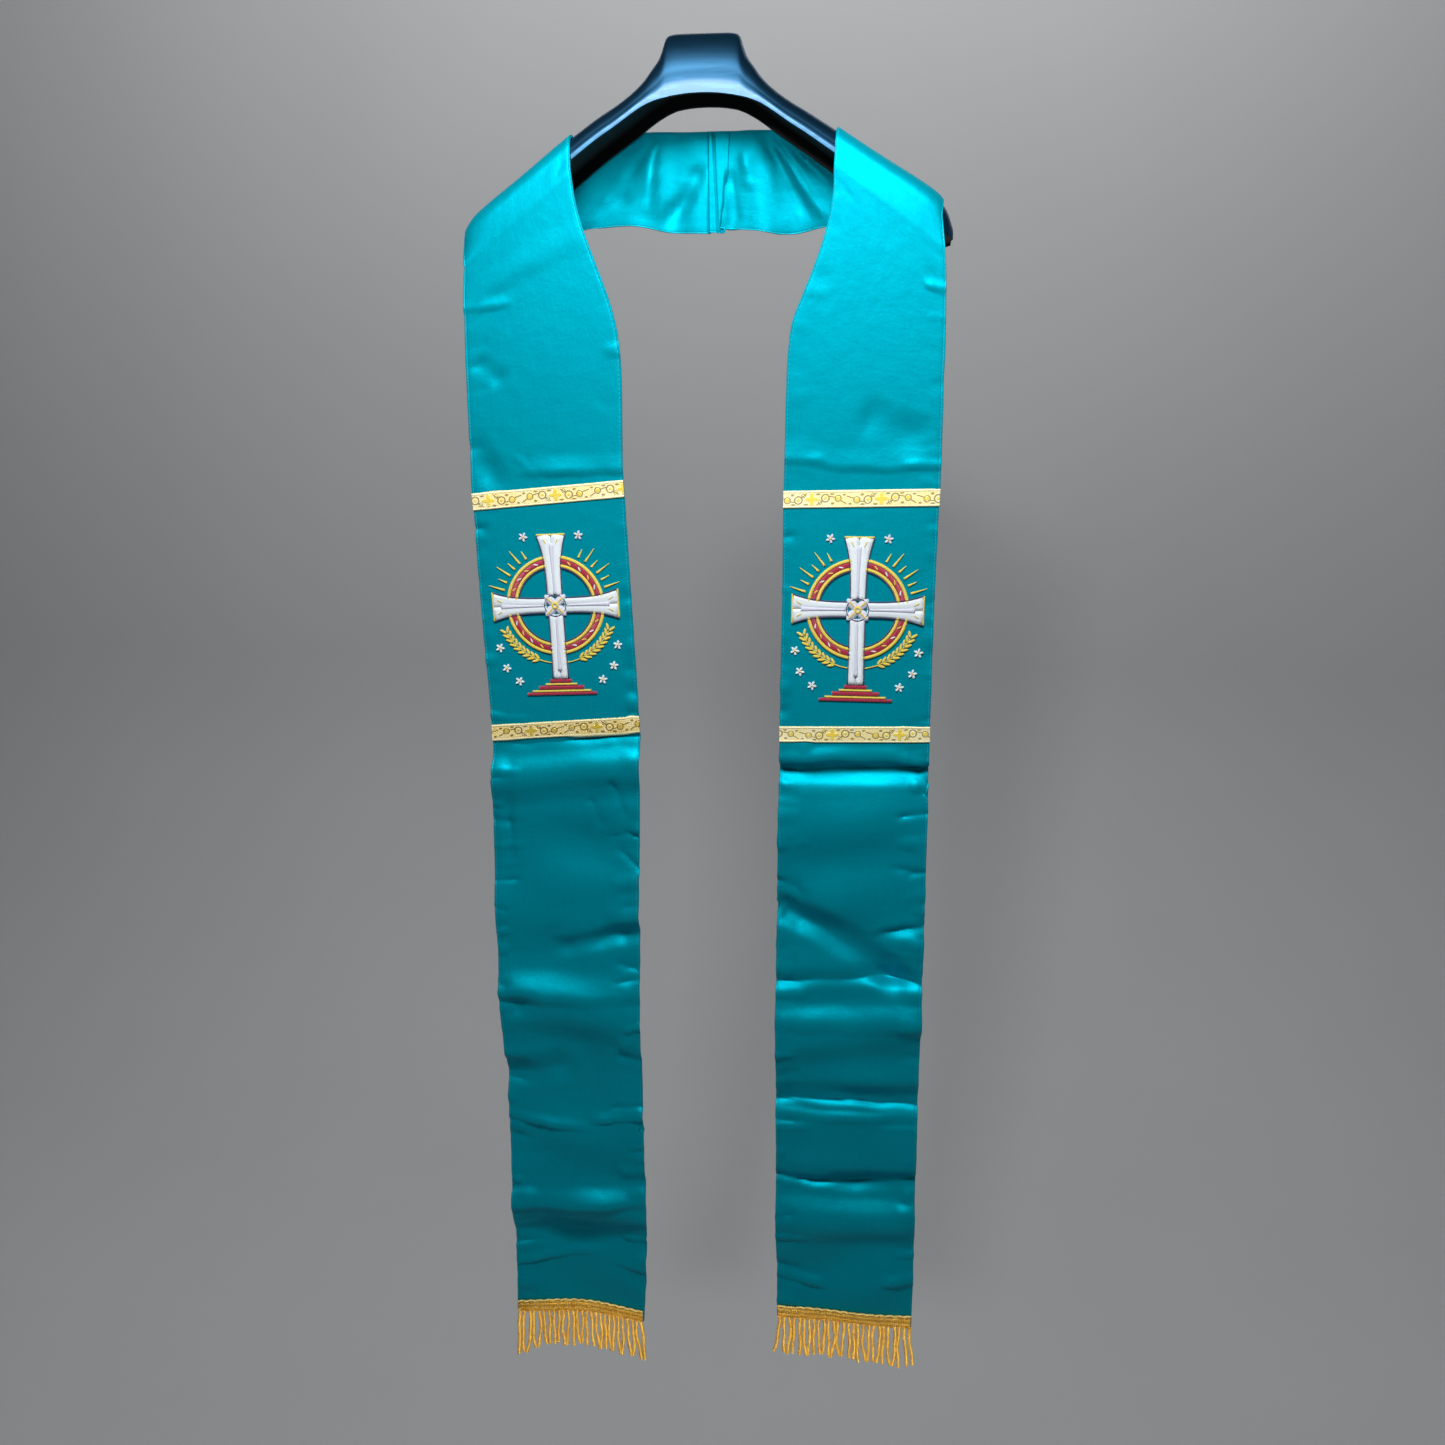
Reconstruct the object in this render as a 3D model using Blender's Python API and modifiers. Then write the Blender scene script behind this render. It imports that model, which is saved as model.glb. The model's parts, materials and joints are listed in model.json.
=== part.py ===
"""A clerical stole hung over a broad contoured coat hanger, in metres.

The origin is the middle of the flat top of the hanger's neck, where a hook's stem goes in.
+X is to the viewer's right, +Y to the back and +Z up. Each half of the stole runs from the
centre back seam, behind and over one arm of the hanger, and down the front to its fringe.
"""

import math
from collections import namedtuple

import bmesh
import bpy
from mathutils import Matrix, Vector

# Thicknesses and clearances
CLOTH = 0.0010
LINING = 0.0010
SEAM_GAP = 0.0003
TRIM = 0.0009
EMBLEM = 0.0010
LIFT = 0.0007

# Where each half lies, as distances from the middle of the hanger
SHOULDER_INNER = 0.105
SHOULDER_OUTER = {"left": 0.1935, "right": 0.1888}
CENTRE_SEAM = 0.00015
FRONT_PLANE = -0.0270

# Sewn-on pieces
TRIM_HEIGHT = 0.0143
UPPER_TRIM = {"left": 0.3498, "right": 0.3508}
LOWER_TRIM = {"left": 0.5518, "right": 0.5507}
EMBLEM_RING = 0.0430
EMBLEM_RING_WIDTH = 0.0100
EMBLEM_ARM = 0.0130
EMBLEM_FLARE = 0.0260
EMBLEM_NECK = 0.0020
EMBLEM_TOP = 0.0600
EMBLEM_SIDE = 0.0545
EMBLEM_FOOT = 0.0640
EMBLEM_FOOT_HEIGHT = 0.0150
EMBLEM_FOOT_HALF = 0.0327
EMBLEM_RAISE = 0.0080
LAP_WIDTH = 0.0120
LAP_START = 0.0015
LAP_FOOT_DROP = 0.0038

# Fringe
STRANDS = 27
STRAND_SHARE = 0.60
STRAND_LENGTH = 0.0440
STRAND_STEPS = 4
STRAND_TAPER = 0.94
STRAND_UNEVEN = 0.05
STRAND_SWAY = 0.0004
STRAND_CHANGE = 40.0
HEADER_HEIGHT = 0.0130
HEADER_THICKNESS = 0.0024
HEADER_MARGIN = 0.006

# Hanger
NECK_HOLE_RADIUS = 0.0019
NECK_HOLE_DEPTH = 0.0140
HANGER_WALL = 0.0035
HANGER_RECESS = 0.0100
HANGER_TIP_RECESS = 0.0015
SQUARENESS = 0.60
RING_STEPS = 12

# The hanger hangs a little low at its left end and as much high at its right end
HANGER_LEAN = 0.0050
LEAN_START = 0.080

# How finely the cloth is divided. The shares run from the neck edge to the outer edge.
SHARES = (0.0, 0.15, 0.32, 0.50, 0.68, 0.82, 0.92, 1.0)
BACK_STEPS = 10
FRONT_SPACING = 0.036
CLOSEST_ROWS = 0.0080

ArmRow = namedtuple("ArmRow", "x top front_low back_low half_depth")
ARM = [
    ArmRow(0.0000, 0.0000, -0.0460, -0.0475, 0.0215),
    ArmRow(0.0120, 0.0000, -0.0465, -0.0480, 0.0215),
    ArmRow(0.0240, -0.0005, -0.0480, -0.0498, 0.0215),
    ArmRow(0.0290, -0.0030, -0.0490, -0.0515, 0.0215),
    ArmRow(0.0315, -0.0100, -0.0495, -0.0525, 0.0216),
    ArmRow(0.0345, -0.0175, -0.0502, -0.0540, 0.0217),
    ArmRow(0.0400, -0.0250, -0.0520, -0.0570, 0.0218),
    ArmRow(0.0470, -0.0340, -0.0550, -0.0615, 0.0220),
    ArmRow(0.0560, -0.0422, -0.0605, -0.0680, 0.0224),
    ArmRow(0.0680, -0.0506, -0.0685, -0.0760, 0.0228),
    ArmRow(0.0840, -0.0600, -0.0785, -0.0865, 0.0232),
    ArmRow(0.1050, -0.0735, -0.0930, -0.1015, 0.0238),
    ArmRow(0.1450, -0.1008, -0.1205, -0.1305, 0.0250),
    ArmRow(0.1700, -0.1172, -0.1390, -0.1480, 0.0256),
    ArmRow(0.1840, -0.1272, -0.1505, -0.1580, 0.0250),
    ArmRow(0.1900, -0.1335, -0.1555, -0.1605, 0.0235),
    ArmRow(0.1950, -0.1410, -0.1595, -0.1625, 0.0200),
    ArmRow(0.1992, -0.1520, -0.1612, -0.1622, 0.0140),
]

# The back of the neck, from the centre seam outwards. The cloth stands upright there.
BackRow = namedtuple("BackRow", "step inner_x inner_y inner_z outer_x outer_y left_z right_z")
BACK = [
    BackRow(0.0, 0.0000, 0.0340, -0.0628, 0.0000, 0.0400, -0.1418, -0.1370),
    BackRow(1.0, 0.0180, 0.0342, -0.0628, 0.0340, 0.0400, -0.1402, -0.1395),
    BackRow(2.0, 0.0360, 0.0338, -0.0624, 0.0660, 0.0390, -0.1352, -0.1432),
    BackRow(3.0, 0.0530, 0.0330, -0.0628, 0.0980, 0.0375, -0.1362, -0.1386),
    BackRow(4.0, 0.0700, 0.0316, -0.0638, 0.1280, 0.0355, -0.1405, -0.1410),
    BackRow(5.0, 0.0840, 0.0297, -0.0654, 0.1550, 0.0338, -0.1480, -0.1455),
    BackRow(6.0, 0.0935, 0.0255, -0.0670, 0.1770, 0.0318, -0.1535, -0.1500),
]

# Over the arm, from the back to the front. A turn of 0 is the arm's front lower edge,
# 0.5 its top and 1 its back lower edge. The two pulls move an edge in from the shoulder's width.
OverRow = namedtuple("OverRow", "inner_pull inner_turn outer_pull outer_turn")
OVER = [
    OverRow(0.0062, 0.680, 0.0018, 0.930),
    OverRow(0.0032, 0.640, 0.0000, 0.840),
    OverRow(0.0014, 0.600, 0.0000, 0.740),
    OverRow(0.0004, 0.555, 0.0000, 0.640),
    OverRow(0.0000, 0.500, 0.0000, 0.500),
    OverRow(0.0000, 0.370, 0.0000, 0.370),
    OverRow(0.0000, 0.280, 0.0000, 0.280),
    OverRow(0.0000, 0.200, 0.0000, 0.200),
    OverRow(0.0000, 0.120, 0.0000, 0.120),
    OverRow(0.0002, 0.050, 0.0000, 0.050),
]

# The hanging bands, from the shoulder down. A row's drop is its mean depth below the origin.
FrontRow = namedtuple("FrontRow", "drop inner_x inner_z outer_x outer_z")


def front_rows(rows):
    """Adds each row's mean drop, by which the band is read."""
    return [FrontRow(-(row[1] + row[3]) / 2, *row) for row in rows]


FRONT = {
    "left": front_rows([
        (0.1040, -0.1020, 0.1942, -0.1720),
        (0.1010, -0.1240, 0.1955, -0.1870),
        (0.0945, -0.1480, 0.1962, -0.2030),
        (0.0860, -0.1710, 0.1962, -0.2190),
        (0.0770, -0.1950, 0.1966, -0.2340),
        (0.0703, -0.2180, 0.1968, -0.2490),
        (0.0668, -0.2420, 0.1968, -0.2660),
        (0.0660, -0.2750, 0.1968, -0.2900),
        (0.0662, -0.3350, 0.1968, -0.3470),
        (0.0650, -0.3600, 0.1955, -0.3720),
        (0.0625, -0.4110, 0.1942, -0.4225),
        (0.0590, -0.4820, 0.1910, -0.4930),
        (0.0560, -0.5460, 0.1880, -0.5570),
        (0.0552, -0.5680, 0.1875, -0.5790),
        (0.0565, -0.6200, 0.1905, -0.6300),
        (0.0585, -0.7000, 0.1925, -0.7080),
        (0.0590, -0.7900, 0.1920, -0.7960),
        (0.0590, -0.8900, 0.1893, -0.8940),
        (0.0572, -0.9800, 0.1885, -0.9820),
        (0.0562, -1.0400, 0.1880, -1.0400),
        (0.0575, -1.1100, 0.1875, -1.1080),
        (0.0600, -1.1600, 0.1885, -1.1590),
    ]),
    "right": front_rows([
        (0.1045, -0.1000, 0.1922, -0.1630),
        (0.1040, -0.1230, 0.1940, -0.1800),
        (0.0990, -0.1500, 0.1948, -0.1990),
        (0.0900, -0.1770, 0.1952, -0.2160),
        (0.0810, -0.1990, 0.1955, -0.2310),
        (0.0735, -0.2190, 0.1958, -0.2470),
        (0.0703, -0.2440, 0.1955, -0.2640),
        (0.0692, -0.2790, 0.1960, -0.2890),
        (0.0683, -0.3440, 0.1962, -0.3420),
        (0.0680, -0.3680, 0.1958, -0.3655),
        (0.0680, -0.4260, 0.1952, -0.4230),
        (0.0675, -0.4900, 0.1952, -0.4870),
        (0.0670, -0.5520, 0.1955, -0.5490),
        (0.0670, -0.5750, 0.1958, -0.5720),
        (0.0665, -0.6330, 0.1965, -0.6330),
        (0.0660, -0.7450, 0.1974, -0.7450),
        (0.0665, -0.8630, 0.1980, -0.8630),
        (0.0675, -0.9600, 0.1987, -0.9600),
        (0.0685, -1.0380, 0.1993, -1.0380),
        (0.0700, -1.1000, 0.1999, -1.1000),
        (0.0710, -1.1450, 0.2002, -1.1450),
    ]),
}

# The largest folds across the bands. Rise is towards the viewer, slope is the drop gained from
# the inner to the outer edge, and end is how far across the band the fold goes before it fades.
Fold = namedtuple("Fold", "drop rise reach slope end")
FOLDS = {
    "left": [
        Fold(0.603, 0.0055, 0.026, 0.004, 1.00),
        Fold(0.672, -0.0040, 0.045, 0.020, 1.00),
        Fold(0.768, -0.0035, 0.034, -0.010, 0.60),
        Fold(0.828, 0.0055, 0.038, -0.006, 1.00),
        Fold(0.918, -0.0045, 0.052, 0.010, 1.00),
        Fold(1.036, 0.0060, 0.032, 0.006, 1.00),
        Fold(1.072, -0.0045, 0.024, 0.004, 1.00),
    ],
    "right": [
        Fold(0.592, -0.0045, 0.017, -0.004, 1.00),
        Fold(0.640, 0.0045, 0.044, 0.010, 1.00),
        Fold(0.752, -0.0035, 0.040, 0.050, 0.75),
        Fold(0.838, 0.0050, 0.036, -0.008, 1.00),
        Fold(0.912, -0.0050, 0.030, -0.004, 1.00),
        Fold(1.000, -0.0045, 0.028, 0.004, 1.00),
        Fold(1.034, 0.0060, 0.028, 0.000, 1.00),
    ],
}

FOLD_FADE = 0.25

# Upright flutes at the back of the neck, by their distance from the seam at each edge.
Flute = namedtuple("Flute", "top_x bottom_x rise reach")
FLUTES = {
    "left": [
        Flute(0.032, 0.030, 0.0030, 0.020),
        Flute(0.050, 0.062, -0.0035, 0.024),
        Flute(0.074, 0.104, 0.0030, 0.026),
    ],
    "right": [
        Flute(0.036, 0.044, -0.0030, 0.018),
        Flute(0.054, 0.072, 0.0035, 0.022),
        Flute(0.076, 0.108, -0.0035, 0.024),
    ],
}

# A flute is this much of its full rise at the neck edge
FLUTE_TOP_RISE = 0.3

# How far the hem stands back from the front plane at its inner edge, middle and outer edge
HEM_BOW = {"left": (0.000, 0.020, 0.001), "right": (0.006, 0.000, 0.001)}
HEM_BOW_START = 0.90

COLOURS = {
    "cloth": (0.000, 0.330, 0.430, 1.0),
    "lining": (0.000, 0.260, 0.340, 1.0),
    "trim": (0.780, 0.700, 0.380, 1.0),
    "emblem": (0.850, 0.860, 0.880, 1.0),
    "fringe": (0.560, 0.330, 0.060, 1.0),
    "hanger": (0.012, 0.014, 0.020, 1.0),
}
ROUGHNESS = {"cloth": 0.50, "lining": 0.45, "trim": 0.40, "emblem": 0.45, "fringe": 0.42, "hanger": 0.18}
METALLIC = {"trim": 0.3, "fringe": 0.5}

SIDES = {"left": -1, "right": 1}


def mix(a, b, share):
    return a + (b - a) * share


def read(rows, column, key):
    """Reads a column of a table at a value of its first column, along a smooth curve."""
    keys = [row[0] for row in rows]
    values = [getattr(row, column) for row in rows]
    if key <= keys[0]:
        return values[0]
    if key >= keys[-1]:
        return values[-1]
    i = max(n for n in range(len(rows) - 1) if keys[n] <= key)
    span = keys[i + 1] - keys[i]
    slopes = []
    for n in (i, i + 1):
        low = max(n - 1, 0)
        high = min(n + 1, len(rows) - 1)
        slopes.append((values[high] - values[low]) / (keys[high] - keys[low]) * span)
    t = (key - keys[i]) / span
    return (
        values[i] * (1 + 2 * t) * (1 - t) ** 2
        + slopes[0] * t * (1 - t) ** 2
        + values[i + 1] * t * t * (3 - 2 * t)
        + slopes[1] * t * t * (t - 1)
    )


def hump(distance, reach):
    """A smooth hump of height 1 that ends at the reach."""
    if abs(distance) >= reach:
        return 0.0
    return 0.5 + 0.5 * math.cos(math.pi * distance / reach)


def ease(value):
    value = min(max(value, 0.0), 1.0)
    return value * value * (3 - 2 * value)


def arm_point(x, turn):
    """A point on the hanger's outer skin, from its front lower edge over the top to the back."""
    top = read(ARM, "top", abs(x))
    low = mix(read(ARM, "front_low", abs(x)), read(ARM, "back_low", abs(x)), turn)
    half_depth = read(ARM, "half_depth", abs(x))
    reach = math.cos(math.pi * turn)
    rise = math.sin(math.pi * turn)
    y = -half_depth * math.copysign(abs(reach) ** SQUARENESS, reach)
    z = low + (top - low) * max(rise, 0.0) ** SQUARENESS
    lean = HANGER_LEAN * ease((abs(x) - LEAN_START) / (ARM[-1].x - LEAN_START))
    return Vector((x, y, z + math.copysign(lean, x)))


def back_point(side, step, across):
    """A point of the upright cloth behind the neck, on its inner surface."""
    outer_z = read(BACK, side + "_z", step)
    x = mix(read(BACK, "inner_x", step), read(BACK, "outer_x", step), across)
    y = mix(read(BACK, "inner_y", step), read(BACK, "outer_y", step), across)
    z = mix(read(BACK, "inner_z", step), outer_z, across)
    for flute in FLUTES[side]:
        centre = mix(flute.top_x, flute.bottom_x, across)
        y += flute.rise * hump(x - centre, flute.reach) * mix(FLUTE_TOP_RISE, 1.0, across)
    return Vector(((x + CENTRE_SEAM) * SIDES[side], y, z))


def front_point(side, drop, across):
    """A point of a hanging band, on its inner surface."""
    rows = FRONT[side]
    x = mix(read(rows, "inner_x", drop), read(rows, "outer_x", drop), across)
    z = mix(read(rows, "inner_z", drop), read(rows, "outer_z", drop), across)
    y = FRONT_PLANE
    for fold in FOLDS[side]:
        place = fold.drop + fold.slope * (across - 0.5)
        fade = 1 - ease((across - fold.end) / FOLD_FADE) if fold.end < 1 else 1.0
        y -= fold.rise * hump(drop - place, fold.reach) * fade
    inner, middle, outer = HEM_BOW[side]
    bow = mix(mix(inner, middle, across), mix(middle, outer, across), across)
    y += bow * ease((drop - HEM_BOW_START) / (rows[-1].drop - HEM_BOW_START))
    return Vector((x * SIDES[side], y, z))


def front_drops(side):
    """The drops of the band's sections: close at folds and trims, wide between them."""
    rows = FRONT[side]
    wanted = [row.drop for row in rows[:8]]
    for top in (UPPER_TRIM[side], LOWER_TRIM[side]):
        wanted += [top, top + TRIM_HEIGHT]
    hem = rows[-1].drop
    wanted += [hem - HEADER_HEIGHT, hem]
    fixed = list(wanted)
    for fold in FOLDS[side]:
        wanted += [fold.drop + fold.reach * share for share in (-0.75, -0.35, 0.0, 0.35, 0.75)]
    steps = int((hem - rows[7].drop) / FRONT_SPACING)
    wanted += [rows[7].drop + FRONT_SPACING * n for n in range(1, steps)]
    drops = []
    for drop in sorted(wanted):
        if drops and drop - drops[-1] < CLOSEST_ROWS:
            if drop in fixed:
                drops[-1] = drop
            continue
        drops.append(drop)
    return drops


def half_sections(side):
    """The sections of one half, each a row of points from the neck edge to the outer edge."""
    last = BACK[-1].step
    sections = [
        [back_point(side, last * n / BACK_STEPS, share) for share in SHARES]
        for n in range(BACK_STEPS + 1)
    ]
    for row in OVER:
        section = []
        for share in SHARES:
            inner = SHOULDER_INNER - row.inner_pull
            outer = SHOULDER_OUTER[side] - row.outer_pull
            x = mix(inner, outer, share) * SIDES[side]
            section.append(arm_point(x, mix(row.inner_turn, row.outer_turn, share)))
        sections.append(section)
    for drop in front_drops(side):
        sections.append([front_point(side, drop, share) for share in SHARES])
    return sections


def moved_out(sections, side, distance, at_seam=False):
    """The same sections moved out along the surface's normals, away from the hanger.

    A surface that starts at the centre back seam runs straight out of it, so that its end
    stays level with the other half's.
    """
    rows = len(sections)
    columns = len(sections[0])
    result = []
    for i in range(rows):
        before = sections[max(i - 1, 0)]
        after = sections[min(i + 1, rows - 1)]
        line = []
        for j in range(columns):
            along = after[j] - before[j]
            if at_seam and i == 0:
                along = Vector((SIDES[side], 0.0, 0.0))
            across = sections[i][min(j + 1, columns - 1)] - sections[i][max(j - 1, 0)]
            normal = along.cross(across).normalized() * SIDES[side]
            line.append(sections[i][j] + normal * distance)
        result.append(line)
    return result


def add_object(name, mesh, collection, slot):
    """Puts a mesh in the scene as one named piece with its own material."""
    material = bpy.data.materials.new(name + "_material")
    material.use_nodes = True
    shader = material.node_tree.nodes["Principled BSDF"]
    shader.inputs["Base Color"].default_value = COLOURS[slot]
    shader.inputs["Roughness"].default_value = ROUGHNESS[slot]
    shader.inputs["Metallic"].default_value = METALLIC.get(slot, 0.0)
    mesh.materials.append(material)
    piece = bpy.data.objects.new(name, mesh)
    collection.objects.link(piece)
    return piece


def sheet(name, sections, side, thickness, collection, slot):
    """A wall of cloth: an open surface through the sections, thickened outwards."""
    mesh = bpy.data.meshes.new(name)
    build = bmesh.new()
    grid = [[build.verts.new(point) for point in section] for section in sections]
    for near, far in zip(grid, grid[1:]):
        for j in range(len(near) - 1):
            corners = [near[j], far[j], far[j + 1], near[j + 1]]
            build.faces.new(corners if SIDES[side] > 0 else corners[::-1])
    build.to_mesh(mesh)
    build.free()
    mesh.shade_smooth()
    piece = add_object(name, mesh, collection, slot)
    wall = piece.modifiers.new("wall", "SOLIDIFY")
    wall.thickness = thickness
    wall.offset = 1.0
    return piece


def stole_half(side, collection):
    """The lining and the face cloth of one half, one over the other.

    The face is cut in one piece. It is parted here below the arm, so that its collision pieces
    leave the shoulder's hollow open.
    """
    sections = half_sections(side)
    lining = moved_out(sections, side, LIFT, at_seam=True)
    face = moved_out(sections, side, LIFT + LINING + SEAM_GAP, at_seam=True)
    first_of_band = BACK_STEPS + 1 + len(OVER)
    band = face[first_of_band:]
    shoulder = face[:first_of_band]
    end = []
    for last, first in zip(shoulder[-1], band[0]):
        end.append(first + (last - first).normalized() * SEAM_GAP)
    sheet("stole_lining_" + side, lining, side, LINING, collection, "lining")
    sheet("stole_shoulder_" + side, shoulder + [end], side, CLOTH, collection, "cloth")
    sheet("stole_face_" + side, band, side, CLOTH, collection, "cloth")


def outside_of_face(side, drops, distance):
    """Sections of the band's front, moved out past the face cloth by a distance."""
    sections = [[front_point(side, drop, share) for share in SHARES] for drop in drops]
    return moved_out(sections, side, LIFT + LINING + SEAM_GAP + CLOTH + distance)


def at_share(section, share):
    """The point at a share of the way across a section, on the straight line between columns."""
    n = max(k for k in range(len(SHARES) - 1) if SHARES[k] <= share)
    return section[n].lerp(section[n + 1], (share - SHARES[n]) / (SHARES[n + 1] - SHARES[n]))


def trims(side, collection):
    """The two woven trims across the band, above and below the emblem."""
    for place, top in (("upper", UPPER_TRIM[side]), ("lower", LOWER_TRIM[side])):
        rows = outside_of_face(side, [top, top + TRIM_HEIGHT], SEAM_GAP)
        sheet(f"trim_{side}_{place}", rows, side, TRIM, collection, "trim")


def centre_back_lap(collection):
    """The left half's seam allowance, turned over the right half inside the neck."""
    sections = []
    for edge in (LAP_START, LAP_START + LAP_WIDTH / 2, LAP_START + LAP_WIDTH):
        section = []
        for across in SHARES:
            step = edge / mix(BACK[1].inner_x, BACK[1].outer_x, across)
            point = back_point("right", step, across)
            point.z -= LAP_FOOT_DROP * across
            section.append(point)
        sections.append(section)
    inside = moved_out(sections, "right", LIFT - SEAM_GAP - LINING, at_seam=True)
    sheet("centre_back_lap", inside, "right", LINING, collection, "lining")


def arc(radius, start, end, steps):
    """Points along an arc between two angles."""
    turns = [mix(start, end, n / steps) for n in range(steps + 1)]
    return [(radius * math.cos(turn), radius * math.sin(turn)) for turn in turns]


def emblem_outlines():
    """The outline of a flared cross on a ring and a foot, and the four openings in the ring."""
    half = EMBLEM_ARM / 2
    flare = EMBLEM_FLARE / 2
    meet = math.asin(half / EMBLEM_RING)
    quarter = math.pi / 2
    side = EMBLEM_SIDE
    flare_start = EMBLEM_RING + EMBLEM_NECK
    outer = [(side, -flare), (side, flare), (flare_start, half)]
    outer += arc(EMBLEM_RING, meet, quarter - meet, 10)
    outer += [(half, flare_start), (flare, EMBLEM_TOP), (-flare, EMBLEM_TOP), (-half, flare_start)]
    outer += arc(EMBLEM_RING, quarter + meet, 2 * quarter - meet, 10)
    outer += [(-flare_start, half), (-side, flare), (-side, -flare), (-flare_start, -half)]
    outer += arc(EMBLEM_RING, 2 * quarter + meet, 3 * quarter - meet, 10)
    foot = EMBLEM_FOOT
    outer += [(-half, -foot), (-EMBLEM_FOOT_HALF, -foot - EMBLEM_FOOT_HEIGHT)]
    outer += [(EMBLEM_FOOT_HALF, -foot - EMBLEM_FOOT_HEIGHT), (half, -foot)]
    outer += arc(EMBLEM_RING, 3 * quarter + meet, 4 * quarter - meet, 10)
    outer += [(flare_start, -half)]
    inner_radius = EMBLEM_RING - EMBLEM_RING_WIDTH
    inner_meet = math.asin(half / inner_radius)
    holes = []
    for n in range(4):
        turn = Matrix.Rotation(n * quarter, 2)
        points = [(half, half)] + arc(inner_radius, inner_meet, quarter - inner_meet, 8)
        holes.append([tuple(turn @ Vector(point)) for point in points])
    return [outer] + holes


def emblem(side, collection):
    """The raised embroidered emblem, a flat plate that lies on the face between the trims."""
    curve = bpy.data.curves.new("emblem_outline", "CURVE")
    curve.dimensions = "2D"
    curve.fill_mode = "BOTH"
    curve.extrude = EMBLEM / 2
    for outline in emblem_outlines():
        spline = curve.splines.new("POLY")
        spline.points.add(len(outline) - 1)
        for point, (x, y) in zip(spline.points, outline):
            point.co = (x, y, 0.0, 1.0)
        spline.use_cyclic_u = True
    guide = bpy.data.objects.new("emblem_outline", curve)
    collection.objects.link(guide)
    evaluated = guide.evaluated_get(bpy.context.evaluated_depsgraph_get())
    mesh = bpy.data.meshes.new_from_object(evaluated)
    bpy.data.objects.remove(guide)
    top = UPPER_TRIM[side] + TRIM_HEIGHT
    middle = (top + LOWER_TRIM[side]) / 2 - EMBLEM_RAISE
    rows = outside_of_face(side, [top, middle, LOWER_TRIM[side]], SEAM_GAP)
    high, centre, low = (at_share(row, 0.5) for row in rows)
    up = (high - low).normalized()
    out = Vector((0.0, -1.0, 0.0))
    place = Matrix((up.cross(out), up, out)).transposed().to_4x4()
    place.translation = centre + out * EMBLEM / 2
    build = bmesh.new()
    build.from_mesh(mesh)
    bmesh.ops.remove_doubles(build, verts=build.verts, dist=0.00001)
    bmesh.ops.transform(build, matrix=place, verts=build.verts)
    bmesh.ops.recalc_face_normals(build, faces=build.faces)
    build.to_mesh(mesh)
    build.free()
    mesh.materials.clear()
    add_object("emblem_" + side, mesh, collection, "emblem")


def fringe(side, collection):
    """A braid along the hem with the twisted strands hanging from it."""
    pitch = (1 - 2 * HEADER_MARGIN) / (STRANDS - 1 + STRAND_SHARE)
    shares = [HEADER_MARGIN + pitch * (n // 2 + (n % 2) * STRAND_SHARE) for n in range(2 * STRANDS)]
    hem = FRONT[side][-1].drop
    drops = [hem - HEADER_HEIGHT, hem]
    walls = []
    for distance in (SEAM_GAP, SEAM_GAP + HEADER_THICKNESS):
        rows = outside_of_face(side, drops, distance)
        walls.append([[at_share(row, share) for share in shares] for row in rows])
    inside, outside = walls
    build = bmesh.new()
    rings = []
    for n in range(len(shares)):
        loop = [inside[0][n], outside[0][n], outside[1][n], inside[1][n]]
        rings.append([build.verts.new(point) for point in loop])
    roots = []
    for n, (near, far) in enumerate(zip(rings, rings[1:])):
        for k in range(4):
            face = build.faces.new([near[k], near[(k + 1) % 4], far[(k + 1) % 4], far[k]])
            if k == 2 and n % 2 == 0:
                roots.append(face)
    build.faces.new(rings[0])
    build.faces.new(rings[-1])
    bmesh.ops.recalc_face_normals(build, faces=build.faces)
    for step in range(STRAND_STEPS):
        roots = bmesh.ops.extrude_discrete_faces(build, faces=roots)["faces"]
        for face in roots:
            centre = face.calc_center_median()
            phase = STRAND_CHANGE * centre.x
            length = STRAND_LENGTH * (1 + STRAND_UNEVEN * math.sin(7 * phase)) / STRAND_STEPS
            sway = Vector((math.sin(3 * phase + step), math.cos(5 * phase + step), 0)) * STRAND_SWAY
            for corner in face.verts:
                corner.co = centre + (corner.co - centre) * STRAND_TAPER + sway
                corner.co.z -= length
    mesh = bpy.data.meshes.new("fringe_" + side)
    build.to_mesh(mesh)
    build.free()
    add_object("fringe_" + side, mesh, collection, "fringe")


def hanger_ring(x):
    """One section of the hanger: a rounded top over a shallow channel that opens downwards."""
    ring = [arm_point(x, n / RING_STEPS) for n in range(RING_STEPS + 1)]
    front, back = ring[0], ring[-1]
    tip = ease((abs(x) - ARM[-4].x) / (ARM[-1].x - ARM[-4].x))
    recess = Vector((0, 0, mix(HANGER_RECESS, HANGER_TIP_RECESS, tip)))
    wall = Vector((0, HANGER_WALL, 0))
    ring += [back - wall, back - wall + recess, front + wall + recess, front + wall]
    return ring


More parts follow.
